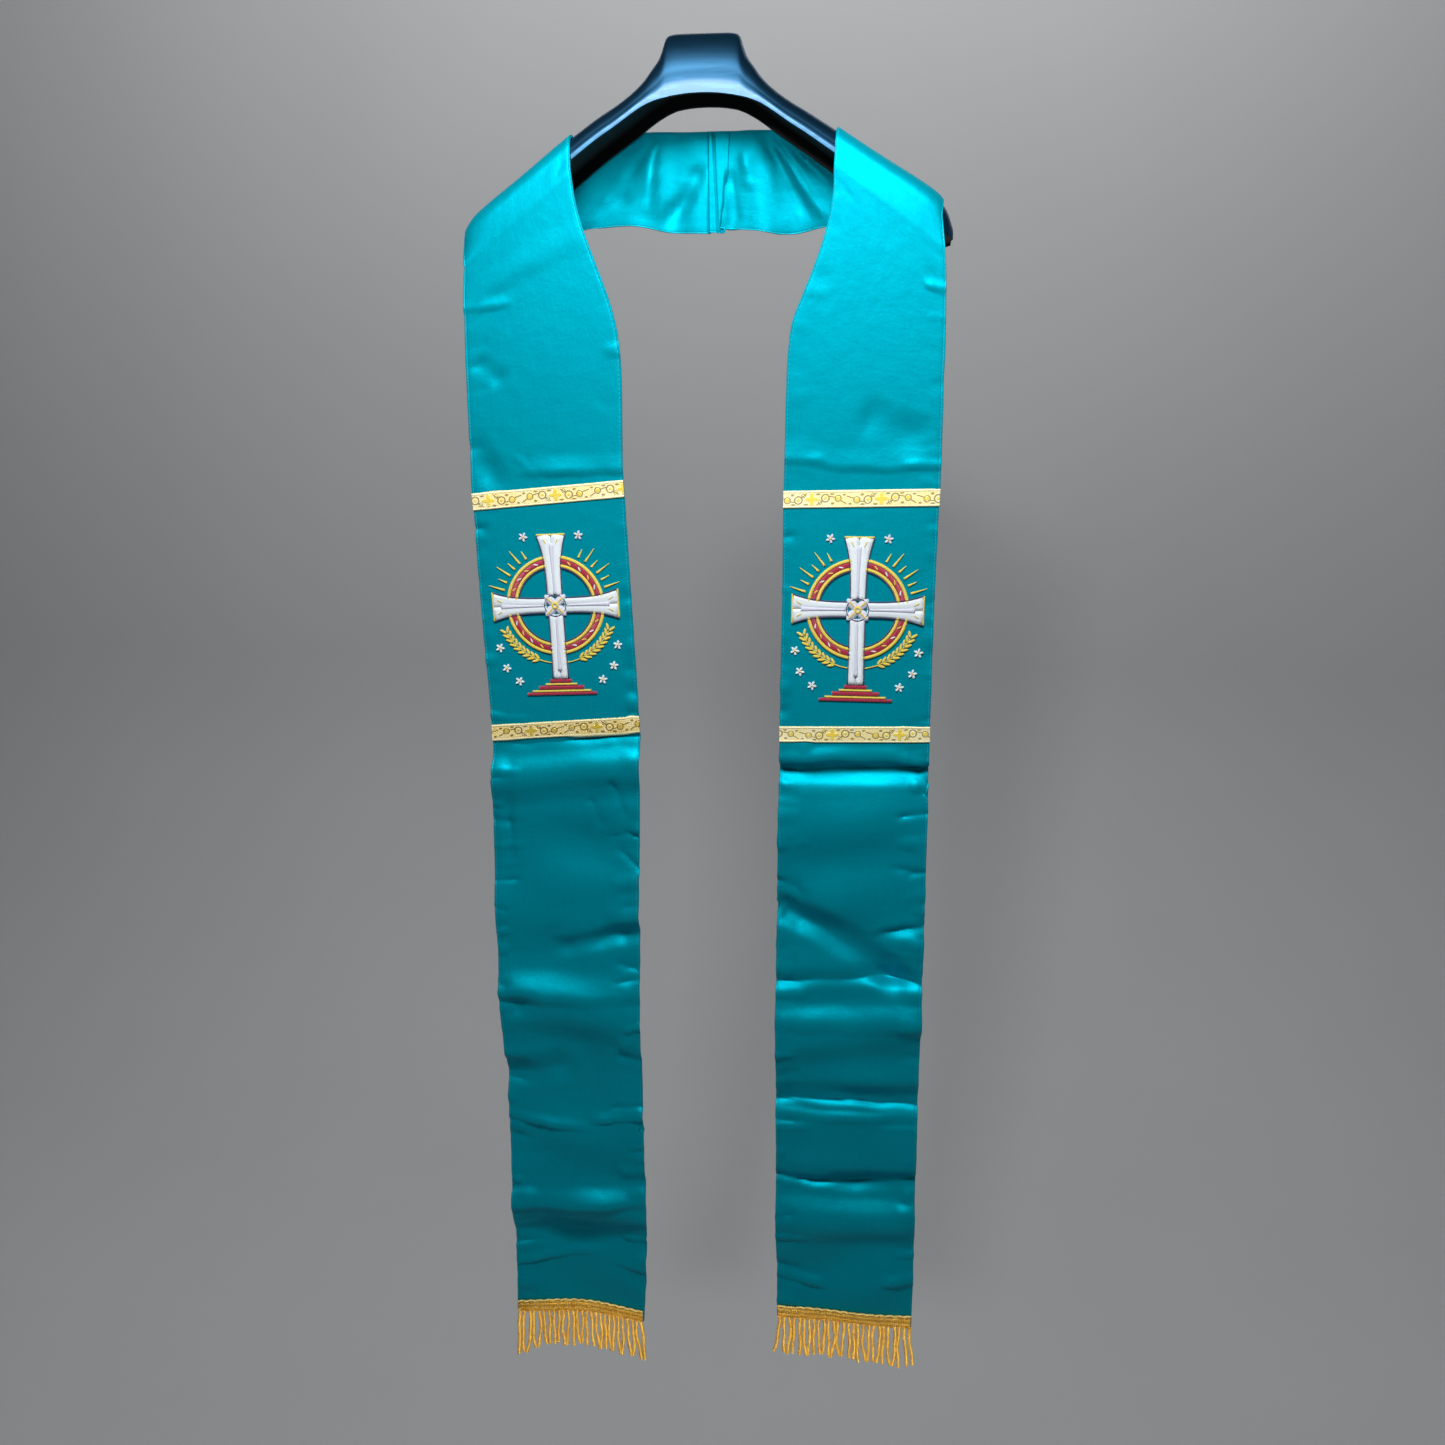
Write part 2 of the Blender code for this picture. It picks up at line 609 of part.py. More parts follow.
def hanger(collection, cutters):
    """The broad moulded hanger, in one piece, with the blind hole for a hook's stem."""
    places = [0.0]
    for side, sign in SIDES.items():
        outer = SHOULDER_OUTER[side]
        bare = [row.x for row in ARM[1:] if not SHOULDER_INNER <= row.x <= outer]
        places += [sign * x for x in bare]
        places += [sign * mix(SHOULDER_INNER, outer, share) for share in SHARES]
    places.sort()
    mesh = bpy.data.meshes.new("hanger")
    build = bmesh.new()
    rings = []
    for x in places:
        rings.append([build.verts.new(point) for point in hanger_ring(x)])
    for near, far in zip(rings, rings[1:]):
        for k in range(len(near)):
            after = (k + 1) % len(near)
            build.faces.new([near[k], far[k], far[after], near[after]])
    build.faces.new(rings[0])
    build.faces.new(rings[-1])
    bmesh.ops.recalc_face_normals(build, faces=build.faces)
    build.to_mesh(mesh)
    build.free()
    piece = add_object("hanger", mesh, collection, "hanger")
    mesh.shade_smooth()
    mesh.set_sharp_from_angle(angle=math.radians(40))
    bpy.ops.mesh.primitive_cylinder_add(
        vertices=16, radius=NECK_HOLE_RADIUS, depth=2 * NECK_HOLE_DEPTH, location=(0, 0, 0)
    )
    hole = bpy.context.object
    hole.name = "hook_hole_cutter"
    hole.hide_render = True
    hole.display_type = "WIRE"
    for holder in list(hole.users_collection):
        holder.objects.unlink(hole)
    cutters.objects.link(hole)
    cut = piece.modifiers.new("hook_hole", "BOOLEAN")
    cut.operation = "DIFFERENCE"
    cut.object = hole


def main():
    for old in list(bpy.data.objects):
        bpy.data.objects.remove(old)
    stole = bpy.data.collections.new("clerical_stole")
    cutters = bpy.data.collections.new("cutters")
    for collection in (stole, cutters):
        bpy.context.scene.collection.children.link(collection)
    hanger(stole, cutters)
    for side in SIDES:
        stole_half(side, stole)
        trims(side, stole)
        emblem(side, stole)
        fringe(side, stole)
    centre_back_lap(stole)


main()
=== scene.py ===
"""Dresses the clerical stole on its hanger: fine cloth, trims, embroidery, fringe and finishes.

Sizes are in metres in the part's own frame. The origin is the top of the hanger's neck, +X is to
the viewer's right, +Y to the back and +Z up. A place on the cloth is given by its run and its
share. The run goes along the middle of a half, from the centre back seam over the arm and down
the front, where it equals the mean drop below the origin. The share goes across the cloth, from
the neck edge at 0 to the outer edge at 1.
"""

import json
import math
import random
from collections import namedtuple

import bmesh
import bpy
import numpy as np
from mathutils import Matrix, Vector

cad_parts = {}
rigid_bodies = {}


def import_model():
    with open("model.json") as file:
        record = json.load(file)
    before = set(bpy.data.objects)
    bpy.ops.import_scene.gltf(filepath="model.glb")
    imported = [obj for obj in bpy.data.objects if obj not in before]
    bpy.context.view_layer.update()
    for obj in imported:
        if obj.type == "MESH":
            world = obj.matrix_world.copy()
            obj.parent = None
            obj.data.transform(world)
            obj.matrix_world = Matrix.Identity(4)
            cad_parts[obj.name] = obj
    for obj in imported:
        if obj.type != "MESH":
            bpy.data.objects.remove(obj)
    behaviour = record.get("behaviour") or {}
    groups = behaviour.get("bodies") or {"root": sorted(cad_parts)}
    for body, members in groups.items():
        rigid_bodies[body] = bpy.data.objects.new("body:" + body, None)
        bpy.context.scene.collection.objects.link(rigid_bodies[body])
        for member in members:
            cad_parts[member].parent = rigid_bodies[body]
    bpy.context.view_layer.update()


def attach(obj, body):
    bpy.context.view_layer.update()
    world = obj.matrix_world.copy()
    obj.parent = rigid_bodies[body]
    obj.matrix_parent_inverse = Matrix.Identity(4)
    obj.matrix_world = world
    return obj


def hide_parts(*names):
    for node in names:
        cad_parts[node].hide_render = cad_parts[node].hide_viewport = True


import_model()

# Layers, from the hanger's skin outwards
LIFT = 0.0007
LINING = 0.0010
SEAM_GAP = 0.0003
CLOTH = 0.0010
TRIM = 0.0009
FACE_INSIDE = LIFT + LINING + SEAM_GAP
FACE_OUTSIDE = FACE_INSIDE + CLOTH

# Where each half lies
SHOULDER_INNER = 0.105
SHOULDER_OUTER = {"left": 0.1935, "right": 0.1888}
CENTRE_SEAM = 0.00015
FRONT_PLANE = -0.0270
BAND_WIDTH = 0.130
HANGER_LEAN = 0.0050
LEAN_START = 0.080
SQUARENESS = 0.60

# Sewn-on pieces
TRIM_HEIGHT = 0.0143
UPPER_TRIM = {"left": 0.3498, "right": 0.3508}
LOWER_TRIM = {"left": 0.5518, "right": 0.5507}
EMBLEM_RAISE = 0.0080
LAP_WIDTH = 0.0165
LAP_COVER = 0.0009
LAP_FOOT_WIDTH = 0.0117
LAP_FOOT_DROP = 0.0038
LAP_GROOVE = 0.0008
LAP_GROOVE_REACH = 0.0016
SEAM_TOP = 0.0029
SEAM_FOOT = 0.0060

# Camera, fitted to the photograph
CAMERA_PLACE = (0.1277, -1.0786, -0.2980)
CAMERA_PITCH = math.radians(90 - 13.45)
CAMERA_YAW = math.radians(6.0)
CAMERA_LENS = 31.14
CAMERA_SENSOR = 36

SIDES = {"left": -1, "right": 1}
FULL_TURN = 2 * math.pi
MM = 0.001

ArmRow = namedtuple("ArmRow", "x top front_low back_low half_depth")
ARM = [
    ArmRow(0.0000, 0.0000, -0.0460, -0.0475, 0.0215),
    ArmRow(0.0120, 0.0000, -0.0465, -0.0480, 0.0215),
    ArmRow(0.0240, -0.0005, -0.0480, -0.0498, 0.0215),
    ArmRow(0.0290, -0.0030, -0.0490, -0.0515, 0.0215),
    ArmRow(0.0315, -0.0100, -0.0495, -0.0525, 0.0216),
    ArmRow(0.0345, -0.0175, -0.0502, -0.0540, 0.0217),
    ArmRow(0.0400, -0.0250, -0.0520, -0.0570, 0.0218),
    ArmRow(0.0470, -0.0340, -0.0550, -0.0615, 0.0220),
    ArmRow(0.0560, -0.0422, -0.0605, -0.0680, 0.0224),
    ArmRow(0.0680, -0.0506, -0.0685, -0.0760, 0.0228),
    ArmRow(0.0840, -0.0600, -0.0785, -0.0865, 0.0232),
    ArmRow(0.1050, -0.0735, -0.0930, -0.1015, 0.0238),
    ArmRow(0.1450, -0.1008, -0.1205, -0.1305, 0.0250),
    ArmRow(0.1700, -0.1172, -0.1390, -0.1480, 0.0256),
    ArmRow(0.1840, -0.1272, -0.1505, -0.1580, 0.0250),
    ArmRow(0.1900, -0.1335, -0.1555, -0.1605, 0.0235),
    ArmRow(0.1950, -0.1410, -0.1595, -0.1625, 0.0200),
    ArmRow(0.1992, -0.1520, -0.1612, -0.1622, 0.0140),
]

BackRow = namedtuple("BackRow", "step inner_x inner_y inner_z outer_x outer_y left_z right_z")
BACK = [
    BackRow(0.0, 0.0000, 0.0340, -0.0628, 0.0000, 0.0400, -0.1418, -0.1370),
    BackRow(1.0, 0.0180, 0.0342, -0.0628, 0.0340, 0.0400, -0.1402, -0.1395),
    BackRow(2.0, 0.0360, 0.0338, -0.0624, 0.0660, 0.0390, -0.1352, -0.1432),
    BackRow(3.0, 0.0530, 0.0330, -0.0628, 0.0980, 0.0375, -0.1362, -0.1386),
    BackRow(4.0, 0.0700, 0.0316, -0.0638, 0.1280, 0.0355, -0.1405, -0.1410),
    BackRow(5.0, 0.0840, 0.0297, -0.0654, 0.1550, 0.0338, -0.1480, -0.1455),
    BackRow(6.0, 0.0935, 0.0255, -0.0670, 0.1770, 0.0318, -0.1535, -0.1500),
]

OverRow = namedtuple("OverRow", "place inner_pull inner_turn outer_pull outer_turn")
OVER = [
    OverRow(0, 0.0062, 0.680, 0.0018, 0.930),
    OverRow(1, 0.0032, 0.640, 0.0000, 0.840),
    OverRow(2, 0.0014, 0.600, 0.0000, 0.740),
    OverRow(3, 0.0004, 0.555, 0.0000, 0.640),
    OverRow(4, 0.0000, 0.500, 0.0000, 0.500),
    OverRow(5, 0.0000, 0.370, 0.0000, 0.370),
    OverRow(6, 0.0000, 0.280, 0.0000, 0.280),
    OverRow(7, 0.0000, 0.200, 0.0000, 0.200),
    OverRow(8, 0.0000, 0.120, 0.0000, 0.120),
    OverRow(9, 0.0002, 0.050, 0.0000, 0.050),
]

FrontRow = namedtuple("FrontRow", "drop inner_x inner_z outer_x outer_z")


def front_rows(rows):
    """Adds each row's mean drop, by which the band is read."""
    return [FrontRow(-(row[1] + row[3]) / 2, *row) for row in rows]


FRONT = {
    "left": front_rows([
        (0.1040, -0.1020, 0.1942, -0.1720),
        (0.1010, -0.1240, 0.1955, -0.1870),
        (0.0945, -0.1480, 0.1962, -0.2030),
        (0.0860, -0.1710, 0.1962, -0.2190),
        (0.0770, -0.1950, 0.1966, -0.2340),
        (0.0703, -0.2180, 0.1968, -0.2490),
        (0.0668, -0.2420, 0.1968, -0.2660),
        (0.0660, -0.2750, 0.1968, -0.2900),
        (0.0662, -0.3350, 0.1968, -0.3470),
        (0.0650, -0.3600, 0.1955, -0.3720),
        (0.0625, -0.4110, 0.1942, -0.4225),
        (0.0590, -0.4820, 0.1910, -0.4930),
        (0.0560, -0.5460, 0.1880, -0.5570),
        (0.0552, -0.5680, 0.1875, -0.5790),
        (0.0565, -0.6200, 0.1905, -0.6300),
        (0.0585, -0.7000, 0.1925, -0.7080),
        (0.0590, -0.7900, 0.1920, -0.7960),
        (0.0590, -0.8900, 0.1893, -0.8940),
        (0.0572, -0.9800, 0.1885, -0.9820),
        (0.0562, -1.0400, 0.1880, -1.0400),
        (0.0575, -1.1100, 0.1875, -1.1080),
        (0.0600, -1.1600, 0.1885, -1.1590),
    ]),
    "right": front_rows([
        (0.1045, -0.1000, 0.1922, -0.1630),
        (0.1040, -0.1230, 0.1940, -0.1800),
        (0.0990, -0.1500, 0.1948, -0.1990),
        (0.0900, -0.1770, 0.1952, -0.2160),
        (0.0810, -0.1990, 0.1955, -0.2310),
        (0.0735, -0.2190, 0.1958, -0.2470),
        (0.0703, -0.2440, 0.1955, -0.2640),
        (0.0692, -0.2790, 0.1960, -0.2890),
        (0.0683, -0.3440, 0.1962, -0.3420),
        (0.0680, -0.3680, 0.1958, -0.3655),
        (0.0680, -0.4260, 0.1952, -0.4230),
        (0.0675, -0.4900, 0.1952, -0.4870),
        (0.0670, -0.5520, 0.1955, -0.5490),
        (0.0670, -0.5750, 0.1958, -0.5720),
        (0.0665, -0.6330, 0.1965, -0.6330),
        (0.0660, -0.7450, 0.1974, -0.7450),
        (0.0665, -0.8630, 0.1980, -0.8630),
        (0.0675, -0.9600, 0.1987, -0.9600),
        (0.0685, -1.0380, 0.1993, -1.0380),
        (0.0700, -1.1000, 0.1999, -1.1000),
        (0.0710, -1.1450, 0.2002, -1.1450),
    ]),
}

# The largest folds, the flutes behind the neck and the hem's bow, as in the solids
Fold = namedtuple("Fold", "drop rise reach slope end")
FOLDS = {
    "left": [
        Fold(0.603, 0.0055, 0.026, 0.004, 1.00),
        Fold(0.672, -0.0040, 0.045, 0.020, 1.00),
        Fold(0.768, -0.0035, 0.034, -0.010, 0.60),
        Fold(0.828, 0.0055, 0.038, -0.006, 1.00),
        Fold(0.918, -0.0045, 0.052, 0.010, 1.00),
        Fold(1.036, 0.0060, 0.032, 0.006, 1.00),
        Fold(1.072, -0.0045, 0.024, 0.004, 1.00),
    ],
    "right": [
        Fold(0.592, -0.0045, 0.017, -0.004, 1.00),
        Fold(0.640, 0.0045, 0.044, 0.010, 1.00),
        Fold(0.752, -0.0035, 0.040, 0.050, 0.75),
        Fold(0.838, 0.0050, 0.036, -0.008, 1.00),
        Fold(0.912, -0.0050, 0.030, -0.004, 1.00),
        Fold(1.000, -0.0045, 0.028, 0.004, 1.00),
        Fold(1.034, 0.0060, 0.028, 0.000, 1.00),
    ],
}
FOLD_FADE = 0.25
Flute = namedtuple("Flute", "top_x bottom_x rise reach")
FLUTES = {
    "left": [
        Flute(0.032, 0.030, 0.0030, 0.020),
        Flute(0.050, 0.062, -0.0035, 0.024),
        Flute(0.074, 0.104, 0.0030, 0.026),
    ],
    "right": [
        Flute(0.036, 0.044, -0.0030, 0.018),
        Flute(0.054, 0.072, 0.0035, 0.022),
        Flute(0.076, 0.108, -0.0035, 0.024),
    ],
}
FLUTE_TOP_RISE = 0.3
HEM_BOW = {"left": (0.000, 0.020, 0.001), "right": (0.006, 0.000, 0.001)}
HEM_BOW_START = 0.90

# Creases pressed or dragged into the cloth, each along a line from one place to another. Rise is
# outwards. Above and below are the reaches to the two sides, below being down a level crease and
# towards the neck edge from one that runs down. Soft is 1 for a round crease and 0 for a sharp one,
# and the bow bends its middle to the side that is below.
Crease = namedtuple("Crease", "run share end_run end_share rise above below soft bow")
CREASES = {
    "left": [
        Crease(-0.030, 0.10, -0.044, 0.90, -0.0034, 0.006, 0.011, 0.7, 0.002),
        Crease(-0.078, 0.30, -0.056, 1.00, 0.0040, 0.009, 0.012, 0.9, 0.000),
        Crease(-0.004, 0.60, -0.004, 1.10, -0.0018, 0.007, 0.006, 0.7, 0.000),
        Crease(-0.016, 0.20, -0.020, 0.85, 0.0018, 0.010, 0.012, 1.0, 0.000),
        Crease(0.182, -0.20, 0.168, 1.20, 0.0006, 0.018, 0.012, 1.0, 0.000),
        Crease(0.198, 0.60, 0.178, 1.08, 0.0012, 0.010, 0.004, 0.3, 0.000),
        Crease(0.2495, -0.12, 0.2495, 0.11, 0.0008, 0.004, 0.003, 0.6, 0.000),
        Crease(0.258, -0.12, 0.2515, 0.10, 0.0008, 0.004, 0.003, 0.6, 0.000),
        Crease(0.262, 0.74, 0.231, 0.96, -0.0011, 0.012, 0.012, 1.0, 0.000),
        Crease(0.3450, -0.10, 0.3375, 0.74, 0.0018, 0.016, 0.005, 0.4, -0.003),
        Crease(0.345, 0.53, 0.318, 0.74, 0.0006, 0.003, 0.003, 0.3, 0.000),
        Crease(0.352, 0.78, 0.303, 1.00, -0.0024, 0.016, 0.018, 1.0, 0.000),
        Crease(0.378, 0.62, 0.380, 1.10, -0.0018, 0.006, 0.008, 0.8, 0.000),
        Crease(0.5695, -0.10, 0.5690, 1.00, -0.0018, 0.004, 0.008, 0.5, 0.000),
        Crease(0.5695, -0.15, 0.5690, 0.55, -0.0014, 0.004, 0.009, 0.5, 0.000),
        Crease(0.594, -0.30, 0.592, 1.30, 0.0030, 0.022, 0.022, 0.9, 0.000),
        Crease(0.580, 0.885, 0.700, 0.895, -0.0016, 0.007, 0.008, 1.0, 0.000),
        Crease(0.620, 0.34, 0.655, 0.24, -0.0014, 0.005, 0.006, 0.8, 0.000),
        Crease(0.602, 0.20, 0.646, 0.08, -0.0018, 0.006, 0.005, 0.8, 0.000),
        Crease(0.670, 0.16, 0.702, -0.06, -0.0020, 0.005, 0.005, 0.7, 0.000),
        Crease(0.652, 0.12, 0.672, -0.06, -0.0016, 0.0045, 0.004, 0.7, 0.000),
        Crease(0.752, -0.25, 0.771, 0.65, -0.0055, 0.016, 0.014, 1.0, -0.003),
        Crease(0.792, -0.02, 0.782, 0.18, -0.0016, 0.006, 0.006, 0.8, 0.000),
        Crease(0.8045, -0.25, 0.8045, 1.25, 0.0040, 0.026, 0.012, 0.8, 0.010),
        Crease(0.820, 0.66, 0.822, 1.25, -0.0040, 0.012, 0.018, 1.0, 0.000),
        Crease(0.885, 0.45, 0.905, 1.30, -0.0062, 0.026, 0.022, 1.0, 0.000),
        Crease(0.956, 0.34, 0.938, 1.20, 0.0030, 0.012, 0.0045, 0.3, 0.000),
        Crease(0.9365, -0.20, 0.946, 0.42, 0.0030, 0.012, 0.0045, 0.3, 0.000),
        Crease(1.022, -0.20, 1.037, 1.20, 0.0046, 0.018, 0.0095, 0.5, 0.003),
        Crease(1.0905, 0.30, 1.110, 1.20, 0.0022, 0.009, 0.004, 0.3, -0.002),
        Crease(1.108, -0.20, 1.096, 0.32, 0.0022, 0.009, 0.004, 0.3, 0.000),
    ],
    "right": [
        Crease(-0.074, 0.35, -0.081, 1.15, 0.0034, 0.004, 0.007, 0.8, 0.000),
        Crease(-0.0565, 0.15, -0.062, 0.60, -0.0026, 0.008, 0.009, 1.0, 0.000),
        Crease(-0.044, 0.25, -0.044, 1.05, -0.0016, 0.004, 0.006, 0.6, 0.003),
        Crease(-0.024, 0.05, -0.013, 0.98, -0.0036, 0.007, 0.006, 0.7, 0.002),
        Crease(-0.033, 0.10, -0.022, 0.98, 0.0026, 0.006, 0.007, 0.9, 0.002),
        Crease(-0.013, 0.05, 0.008, 0.56, -0.0026, 0.006, 0.006, 0.8, 0.000),
        Crease(0.1775, 0.80, 0.165, 1.10, 0.0010, 0.008, 0.004, 0.4, 0.000),
        Crease(0.288, 0.45, 0.312, 0.95, -0.0014, 0.022, 0.024, 1.0, 0.000),
        Crease(0.3255, -0.20, 0.333, 1.20, 0.0010, 0.018, 0.0055, 0.5, 0.002),
        Crease(0.3255, -0.15, 0.3285, 0.30, 0.0008, 0.008, 0.004, 0.3, 0.000),
        Crease(0.331, 0.72, 0.3325, 1.15, 0.0010, 0.008, 0.004, 0.3, 0.000),
        Crease(0.3895, -0.10, 0.3855, 0.24, -0.0014, 0.005, 0.007, 0.8, 0.000),
        Crease(0.5785, -0.25, 0.5810, 1.25, 0.0030, 0.012, 0.0055, 0.5, 0.000),
        Crease(0.5895, -0.20, 0.5880, 1.20, -0.0026, 0.004, 0.020, 0.9, -0.003),
        Crease(0.585, 0.80, 0.578, 1.10, 0.0012, 0.003, 0.003, 0.4, 0.000),
        Crease(0.590, -0.10, 0.594, 0.20, -0.0015, 0.006, 0.008, 0.8, 0.000),
        Crease(0.690, -0.06, 0.709, 0.24, -0.0016, 0.007, 0.008, 0.9, 0.000),
        Crease(0.705, -0.20, 0.803, 0.98, -0.0085, 0.026, 0.018, 0.9, -0.005),
        Crease(0.747, 0.62, 0.724, 1.20, -0.0036, 0.008, 0.009, 0.9, 0.000),
        Crease(0.688, 0.84, 0.677, 1.08, -0.0014, 0.006, 0.006, 0.9, 0.000),
        Crease(0.796, -0.20, 0.7955, 1.20, -0.0042, 0.016, 0.009, 0.6, -0.009),
        Crease(0.826, -0.20, 0.826, 1.20, 0.0030, 0.018, 0.014, 1.0, 0.000),
        Crease(0.901, 0.25, 0.898, 1.15, -0.0026, 0.018, 0.013, 1.0, 0.000),
        Crease(0.9150, -0.25, 0.9100, 1.25, -0.0044, 0.026, 0.0050, 0.5, 0.000),
        Crease(0.9270, -0.25, 0.9230, 1.25, 0.0026, 0.009, 0.008, 0.7, 0.000),
        Crease(0.9380, -0.20, 0.9335, 1.20, 0.0008, 0.006, 0.0025, 0.2, 0.000),
        Crease(0.9890, -0.25, 1.0000, 0.50, -0.0046, 0.014, 0.006, 0.5, 0.002),
        Crease(0.999, 0.28, 0.987, 1.25, -0.0050, 0.018, 0.012, 0.9, 0.000),
        Crease(1.093, -0.20, 1.109, 0.42, 0.0030, 0.010, 0.006, 0.6, 0.000),
        Crease(1.0995, 0.72, 1.088, 1.20, 0.0030, 0.010, 0.006, 0.6, 0.000),
    ],
}

# Slack that keeps the lower bands uneven, as waves along the run and across the share, in radians
Wave = namedtuple("Wave", "along across phase")
SLACK_WAVES = [Wave(61, 2.9, 0.4), Wave(37, -4.3, 1.7), Wave(93, 5.1, 2.6), Wave(23, 9.0, 0.9)]
SLACK_RISE = 0.0009
SLACK_START = 0.02
SLACK_GROWTH = 0.10

# How far a crease wanders off its line, as a share of its length, and how uneven its rise is. The
# waves are in radians along a crease, the ripple is a share of the wander, and each crease's waves
# start elsewhere, by its run and share.
CREASE_WANDER = 0.011
WANDER_WAVE = 8
WANDER_RIPPLE = 19
RIPPLE_SHARE = 0.6
CREASE_UNEVEN = 0.30
UNEVEN_WAVE = 11
TURN_BY_RUN = 190
TURN_BY_SHARE = 23
CREASE_FADE = 0.22

# How firmly a trim holds the cloth flat, and the half height and half share that the embroidery
# holds, each with the stretch over which its hold fades
TRIM_HOLD = 0.75
EMBLEM_HOLD = 0.082
EMBLEM_HOLD_FADE = 0.010
EMBLEM_HOLD_SHARE = 0.40
EMBLEM_HOLD_SHARE_FADE = 0.06

# Small puckers that the top-stitching draws in along both edges, with their least and largest
# factors. They are faint above the upper trim and grow to full strength below it.
PUCKER_SPACING = 0.0125
PUCKER_LENGTH = 0.0170
PUCKER_REACH = 0.0074
PUCKER_RISE = 0.0012
PUCKER_LENGTHS = (0.35, 2.1)
PUCKER_RISES = (0.2, 1.5)
PUCKER_REACHES = (0.6, 1.7)
PUCKER_GAPS = (0.3, 2.1)
PUCKER_SLANT = 0.010
PUCKER_OUTSIDE = 0.5
PUCKER_FAINT = 0.15
PUCKER_GROWTH = 0.25
PUCKER_SEED = {"left": 11, "right": 12}

# Top-stitching
STITCH_INSET = 0.0018
STITCH_GROOVE = 0.00025
STITCH_GROOVE_REACH = 0.0009
STITCH_PITCH = 0.0031
STITCH_LENGTH = 0.0022
STITCH_THICKNESS = 0.00042
STITCH_SHARES = np.array([0.0, 0.15, 0.85, 1.0])
STITCH_RADII = STITCH_THICKNESS / 2 * np.array([0.35, 1.0, 1.0, 0.35])
STITCH_PITCHES = (0.92, 1.08)
STITCH_LIFT = 0.0001
STITCH_START = 0.002
STITCH_END = 0.003
STITCH_LINE_STEP = 0.001
STITCH_SEED = {"left": 30, "right": 32}

# A cloth's rolled edge, and how flat it ends as a share of its squared thickness
EDGE_ROUND = 0.0009
EDGE_END = 0.02

# How finely the cloth is divided
BACK_SECTIONS = 31
ARM_SECTIONS = 37
SECTION_STEP = 0.006
RUN_STEP = 0.0020
SHARE_STEPS = 44
EDGE_SHARES = (0.0, 0.0012, 0.0035, 0.007, 0.0105, 0.014, 0.018, 0.026)


def mix(a, b, share):
    return a + (b - a) * share


def ease(value):
    value = np.clip(value, 0.0, 1.0)
    return value * value * (3 - 2 * value)


def hump(distance, reach):
    """A smooth hump of height 1 that ends at the reach."""
    return np.where(np.abs(distance) < reach, 0.5 + 0.5 * np.cos(np.pi * distance / reach), 0.0)


def smooth_between(keys, values, wanted):
    """Values at the wanted keys, on a smooth curve through the given ones."""
    keys = np.asarray(keys, dtype=float)
    values = np.asarray(values, dtype=float)
    low = np.maximum(np.arange(len(keys)) - 1, 0)
    high = np.minimum(np.arange(len(keys)) + 1, len(keys) - 1)
    spread = (slice(None),) + (None,) * (values.ndim - 1)
    slopes = (values[high] - values[low]) / (keys[high] - keys[low])[spread]
    wanted = np.clip(wanted, keys[0], keys[-1])
    i = np.clip(np.searchsorted(keys, wanted, side="right") - 1, 0, len(keys) - 2)
    span = (keys[i + 1] - keys[i])[(...,) + (None,) * (values.ndim - 1)]
    t = (wanted - keys[i])[(...,) + (None,) * (values.ndim - 1)] / span
    return (
        values[i] * (1 + 2 * t) * (1 - t) ** 2
        + slopes[i] * span * t * (1 - t) ** 2
        + values[i + 1] * t * t * (3 - 2 * t)
        + slopes[i + 1] * span * t * t * (t - 1)
    )


def read(rows, column, key):
    """Reads a column of a table at values of its first column, along a smooth curve."""
    return smooth_between([row[0] for row in rows], [getattr(row, column) for row in rows], key)


def arm_points(x, turn):
    """Points on the hanger's outer skin, from its front lower edge over the top to the back."""
    x = np.asarray(x, dtype=float)
    turn = np.asarray(turn, dtype=float)
    top = read(ARM, "top", np.abs(x))
    low = mix(read(ARM, "front_low", np.abs(x)), read(ARM, "back_low", np.abs(x)), turn)
    reach = np.cos(np.pi * turn)
    rise = np.maximum(np.sin(np.pi * turn), 0.0)
    y = -read(ARM, "half_depth", np.abs(x)) * np.sign(reach) * np.abs(reach) ** SQUARENESS
    z = low + (top - low) * rise ** SQUARENESS
    lean = HANGER_LEAN * ease((np.abs(x) - LEAN_START) / (ARM[-1].x - LEAN_START))
    return np.stack(np.broadcast_arrays(x, y, z + np.sign(x) * lean), axis=-1)


def back_points(side, step, shares):
    """A section of the upright cloth behind the neck."""
    x = mix(read(BACK, "inner_x", step), read(BACK, "outer_x", step), shares)
    y = mix(read(BACK, "inner_y", step), read(BACK, "outer_y", step), shares)
    z = mix(read(BACK, "inner_z", step), read(BACK, side + "_z", step), shares)
    for flute in FLUTES[side]:
        centre = mix(flute.top_x, flute.bottom_x, shares)
        y = y + flute.rise * hump(x - centre, flute.reach) * mix(FLUTE_TOP_RISE, 1.0, shares)
    return np.stack([(x + CENTRE_SEAM) * SIDES[side], y, z], axis=-1)


def over_points(side, place, shares):
    """A section of the cloth over the hanger's arm."""
    inner = SHOULDER_INNER - read(OVER, "inner_pull", place)
    outer = SHOULDER_OUTER[side] - read(OVER, "outer_pull", place)
    turn = mix(read(OVER, "inner_turn", place), read(OVER, "outer_turn", place), shares)
    return arm_points(mix(inner, outer, shares) * SIDES[side], turn)


